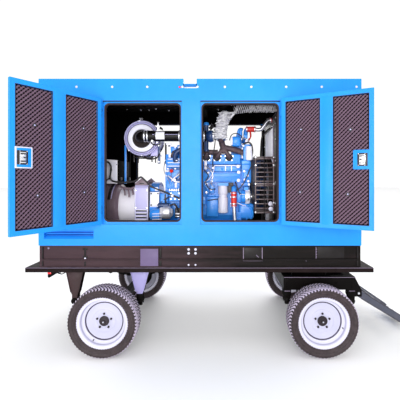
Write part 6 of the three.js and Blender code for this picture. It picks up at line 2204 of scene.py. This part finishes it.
def radiator():
    """The radiator's core, tanks, side frames and overflow pipes."""
    cooler = Part()
    for i in range(64):
        z = 1006 + i * 15.2
        cooler.box((700, 780), (-352, 352), (z, z + 4.4), 1, 0)
    for i in range(24):
        y = -345 + i * 30
        cooler.box((692, 788), (y - 4, y + 4), (1002, 1976), 2, 0)
    cooler.box((708, 772), (-356, 356), (1000, 1978), 1, 4)
    cooler.box((691, 789), (-398, 398), (1976, 2098), 10, 1, segments=3)
    cooler.box((691, 789), (-398, 398), (962, 1004), 8, 1, segments=3)
    for _, hand in SIDES:
        cooler.box((690.5, 789.5), (hand * 352, hand * 399), (966, 2090), 4, 1, segments=3)
        if hand < 0:
            cooler.box((689, 700), (-352, -236), (1000, 1980), 3, 1)
            cooler.box((684, 690), (-244, -236), (1000, 1980), 1.5, 5)
        cooler.box((700, 780), (hand * 322, hand * 400), (893, 968), 4, 1)
        for z in (1040, 1240, 1440, 1640, 1840, 2040):
            cooler.bolt((690, hand * 376, z), BACK, 8, 2)
            cooler.bolt((740, hand * 399, z), (0, hand, 0), 8, 2)
        cooler.box((786, 789), (hand * 300, hand * 350), (1100, 1160), 1, 2)
    for i in range(9):
        cooler.bolt((690, -360 + 90 * i, 1988), BACK, 6, 2)
    cooler.lathe([(0, 0), (32, 0), (32, 10), (40, 12), (40, 22), (36, 26), (0, 27)], 12, 3,
                 facing((740, 120, 2096), UP))
    cooler.tube([(740, 160, 2096), (742, 230, 2110), (748, 330, 2096), (752, 392, 2040), (756, 404, 1960)], 6,
                10, 6, 3)
    cooler.tube([(696, -60, 1998), (650, -40, 1960), (608, -20, 1900), (596, -10, 1760), (594, -10, 1700)], 9,
                12, 6, 1)
    cooler.done("radiator_and_tanks", "trailer", [CORE, BLACK_PAINT, STEEL, RUBBER, CORE_DARK, DUST_AND_HIGHLIGHT_LINE],
                ["radiator"])


def battery():
    """The battery in its tray, with its cables and clamps."""
    cell = Part()
    cell.box((831, 1089), (-469, -291), (953, 1100), 6, 0, segments=3)
    cell.box((828, 1092), (-472, -288), (1098, 1128), 5, 1, segments=3)
    for i in range(6):
        x = 852 + 43 * i
        cell.lathe([(0, 0), (13, 0), (13, 4), (10, 5), (0, 5)], 20, 2, Matrix.Translation((x, -340, 1127)))
        cell.box((x - 12, x - 9), (-470.5, -468), (965, 1090), 0.8, 0)
    for x, mat in ((870, 3), (1050, 2)):
        cell.turned((x, -420, 1126), (x, -420, 1144), [(0, 0), (11, 0), (9, 1), (0, 1)], 20, 4)
        cell.box((x - 17, x + 17), (-436, -404), (1132, 1141), 3, 4)
        cell.tube([(x, -404, 1137), (x - 4, -380, 1146), (x - 40, -300, 1132), (x - 70, -262, 1060),
                   (x - 84, -250, 960)], 9, 12, 6, mat)
    cell.box((820, 1100), (-480, -280), (893, 906), 3, 5)
    for ys in ((-480, -474), (-286, -280)):
        cell.box((820, 1100), ys, (893, 954), 2, 5)
    for xs in ((820, 826), (1094, 1100)):
        cell.box(xs, (-480, -280), (893, 954), 2, 5)
    cell.box((820, 1100), (-503, -280), (892.5, 903), 3, 5)
    for x in (848, 1072):
        cell.rod((x, -476, 950), (x, -476, 1150), 4, 10, 1, 4)
        cell.rod((x, -286, 950), (x, -286, 1150), 4, 10, 1, 4)
        cell.box((x - 9, x + 9), (-482, -280), (1128, 1136), 2, 5)
    cell.done("battery_and_tray", "trailer", [BLACK, BLACK, RUBBER, RED, STEEL, CHASSIS_DARK],
              ["battery"])


def front_end():
    charging_alternator()
    crankshaft()
    cooling_fan()
    dress("drive_belt", RUBBER, 0.001)
    fan_cage()
    radiator()
    battery()


front_end()


# ---------------------------------------------------------------- controls and tank

STOP_Y, KEY_Y, SWITCH_Z = -170, -60, 1600


def control_panel():
    """The panel on the control cabinet: display, gauges, lamps and switches."""
    dress("control_cabinet", GREY, 0.004, 3)
    panel = Part()
    face = -1388
    panel.box((face - 3, face + 1), (-246, 246), (1512, 1948), 2, 0)
    panel.box((face - 10, face), (-150, 150), (1700, 1890), 5, 1)
    panel.box((face - 11, face - 9), (-112, 112), (1760, 1872), 2, 2)
    for i in range(6):
        panel.box((face - 13, face - 9), (-124 + i * 44, -96 + i * 44), (1718, 1738), 2, 3 if i % 2 else 5)
    for y in (-196, 196):  # four round gauges
        for z in (1840, 1730):
            panel.lathe([(0, 0), (34, 0), (34, 8), (30, 11), (28, 7), (0, 7)], 36, 1,
                        facing((face - 2, y, z), BACK))
            panel.lathe([(0, 6), (27, 6), (27, 8), (0, 8)], 36, 4, facing((face - 2, y, z), BACK))
            panel.box((face - 11.5, face - 10), (y - 2, y + 18), (z - 2, z + 2), 0.5, 3)
    for y in (40, 110, 180):
        panel.lathe([(0, 0), (17, 0), (17, 5), (12, 7), (12, 13), (9, 15), (0, 15)], 28, 1,
                    facing((face - 2, y, SWITCH_Z), BACK))
        panel.box((face - 20, face - 14), (y - 3, y + 3), (1590, 1612), 1, 5)
    for y, bore, mat in ((STOP_Y, 24, 6), (KEY_Y, 15, 5)):
        panel.lathe([(bore, 0), (bore + 6, 0), (bore + 5, 2.5), (bore, 2.5)], 36, mat,
                    facing((face - 2.5, y, SWITCH_Z), BACK), closed=True)
    for y in (-236, 236):
        for z in (1522, 1938):
            panel.bolt((face - 3, y, z), BACK, 6, 5)
    panel.box((face - 4.5, face - 2.5), (-150, 150), (1652, 1684), 1, 4)
    panel.done("control_panel", "trailer", [GREY, BLACK, SCREEN, RED, LABEL, BRIGHT, YELLOW])


def stop_and_key():
    """The stop button and the starter key."""
    stop = Part(facing((0, STOP_Y, SWITCH_Z), BACK))
    stop.lathe([(0, 1374), (10, 1374), (10, 1393), (17, 1395), (20, 1399), (20, 1403), (17, 1407), (9, 1409),
                (0, 1409.5)], 40, 0)
    stop.done("stop_mushroom", "stop_button", [RED], ["stop_button"])

    key = Part(facing((0, KEY_Y, SWITCH_Z), BACK))
    key.lathe([(0, 1388.3), (13, 1388.3), (13, 1395), (11.5, 1398), (4, 1398), (4, 1396), (0, 1396)], 28, 0)
    key.box((-2, 2), (-3, 3), (1394, 1404), 0.6, 0)
    key.lathe([(6, -1.6), (13, -1.6), (13, 1.6), (6, 1.6)], 24, 1,
              Matrix.Translation((0, 0, 1410)) @ Matrix.Rotation(math.pi / 2, 4,
                                                                 "X") @ Matrix.Diagonal((0.9, 0.6, 1, 1)),
              closed=True)
    key.box((-3, 3), (-1.6, 1.6), (1400, 1406), 0.6, 0)
    key.done("starter_key", "key_switch", [BRIGHT, BLACK], ["key_switch"])


def fuel_tank():
    """The fuel tank's cap, straps and lines."""
    dress("fuel_tank", BLACK_PAINT, 0.004, 3)
    cap = Part(Matrix.Translation((-600, 430, 960)))
    cap.lathe([(0, 0.4), (38, 0.4), (42, 4), (42, 20), (38, 26), (30, 27), (0, 27)], 40, 0,
              wave=lambda a, r, h: (r + (1.4 * math.cos(a * 20) if r > 41 else 0), h))
    cap.box((-33, 33), (-6, 6), (24, 38), 3, 0, segments=3)
    cap.done("tank_cap", "fuel_cap", [BLACK], ["fuel_cap"])
    tank = Part()
    for x in (-480, -100, 260):
        tank.box((x - 16, x + 16), (-483, 483), (806, 810.5), 1.5, 0)
        for _, hand in SIDES:
            tank.box((x - 16, x + 16), (hand * 479, hand * 483), (704, 809), 1.5, 0)
    tank.lathe([(30, 955), (34, 955), (34, 959.5), (30, 959.5)], 32, 1, Matrix.Translation((-600, 430, 0)),
               closed=True)
    tank.lathe([(0, 0), (32, 0), (32, 4), (28, 6), (0, 6)], 24, 1, Matrix.Translation((420, 250, 808)))
    tank.tube([(420, 250, 814), (420, 258, 850), (400, 300, 880), (300, 330, 900), (120, 320, 940),
               (60, 260, 1040)], 6, 10, 6, 2)
    tank.tube([(440, 230, 812), (440, 200, 860), (380, 100, 884), (260, -180, 900), (160, -300, 930),
               (60, -290, 1040)], 6, 10, 6, 2)
    tank.done("tank_straps_and_lines", "trailer", [CHASSIS_DARK, STEEL, RUBBER])


def controls():
    control_panel()
    stop_and_key()
    fuel_tank()


controls()


# ---------------------------------------------------------------- end
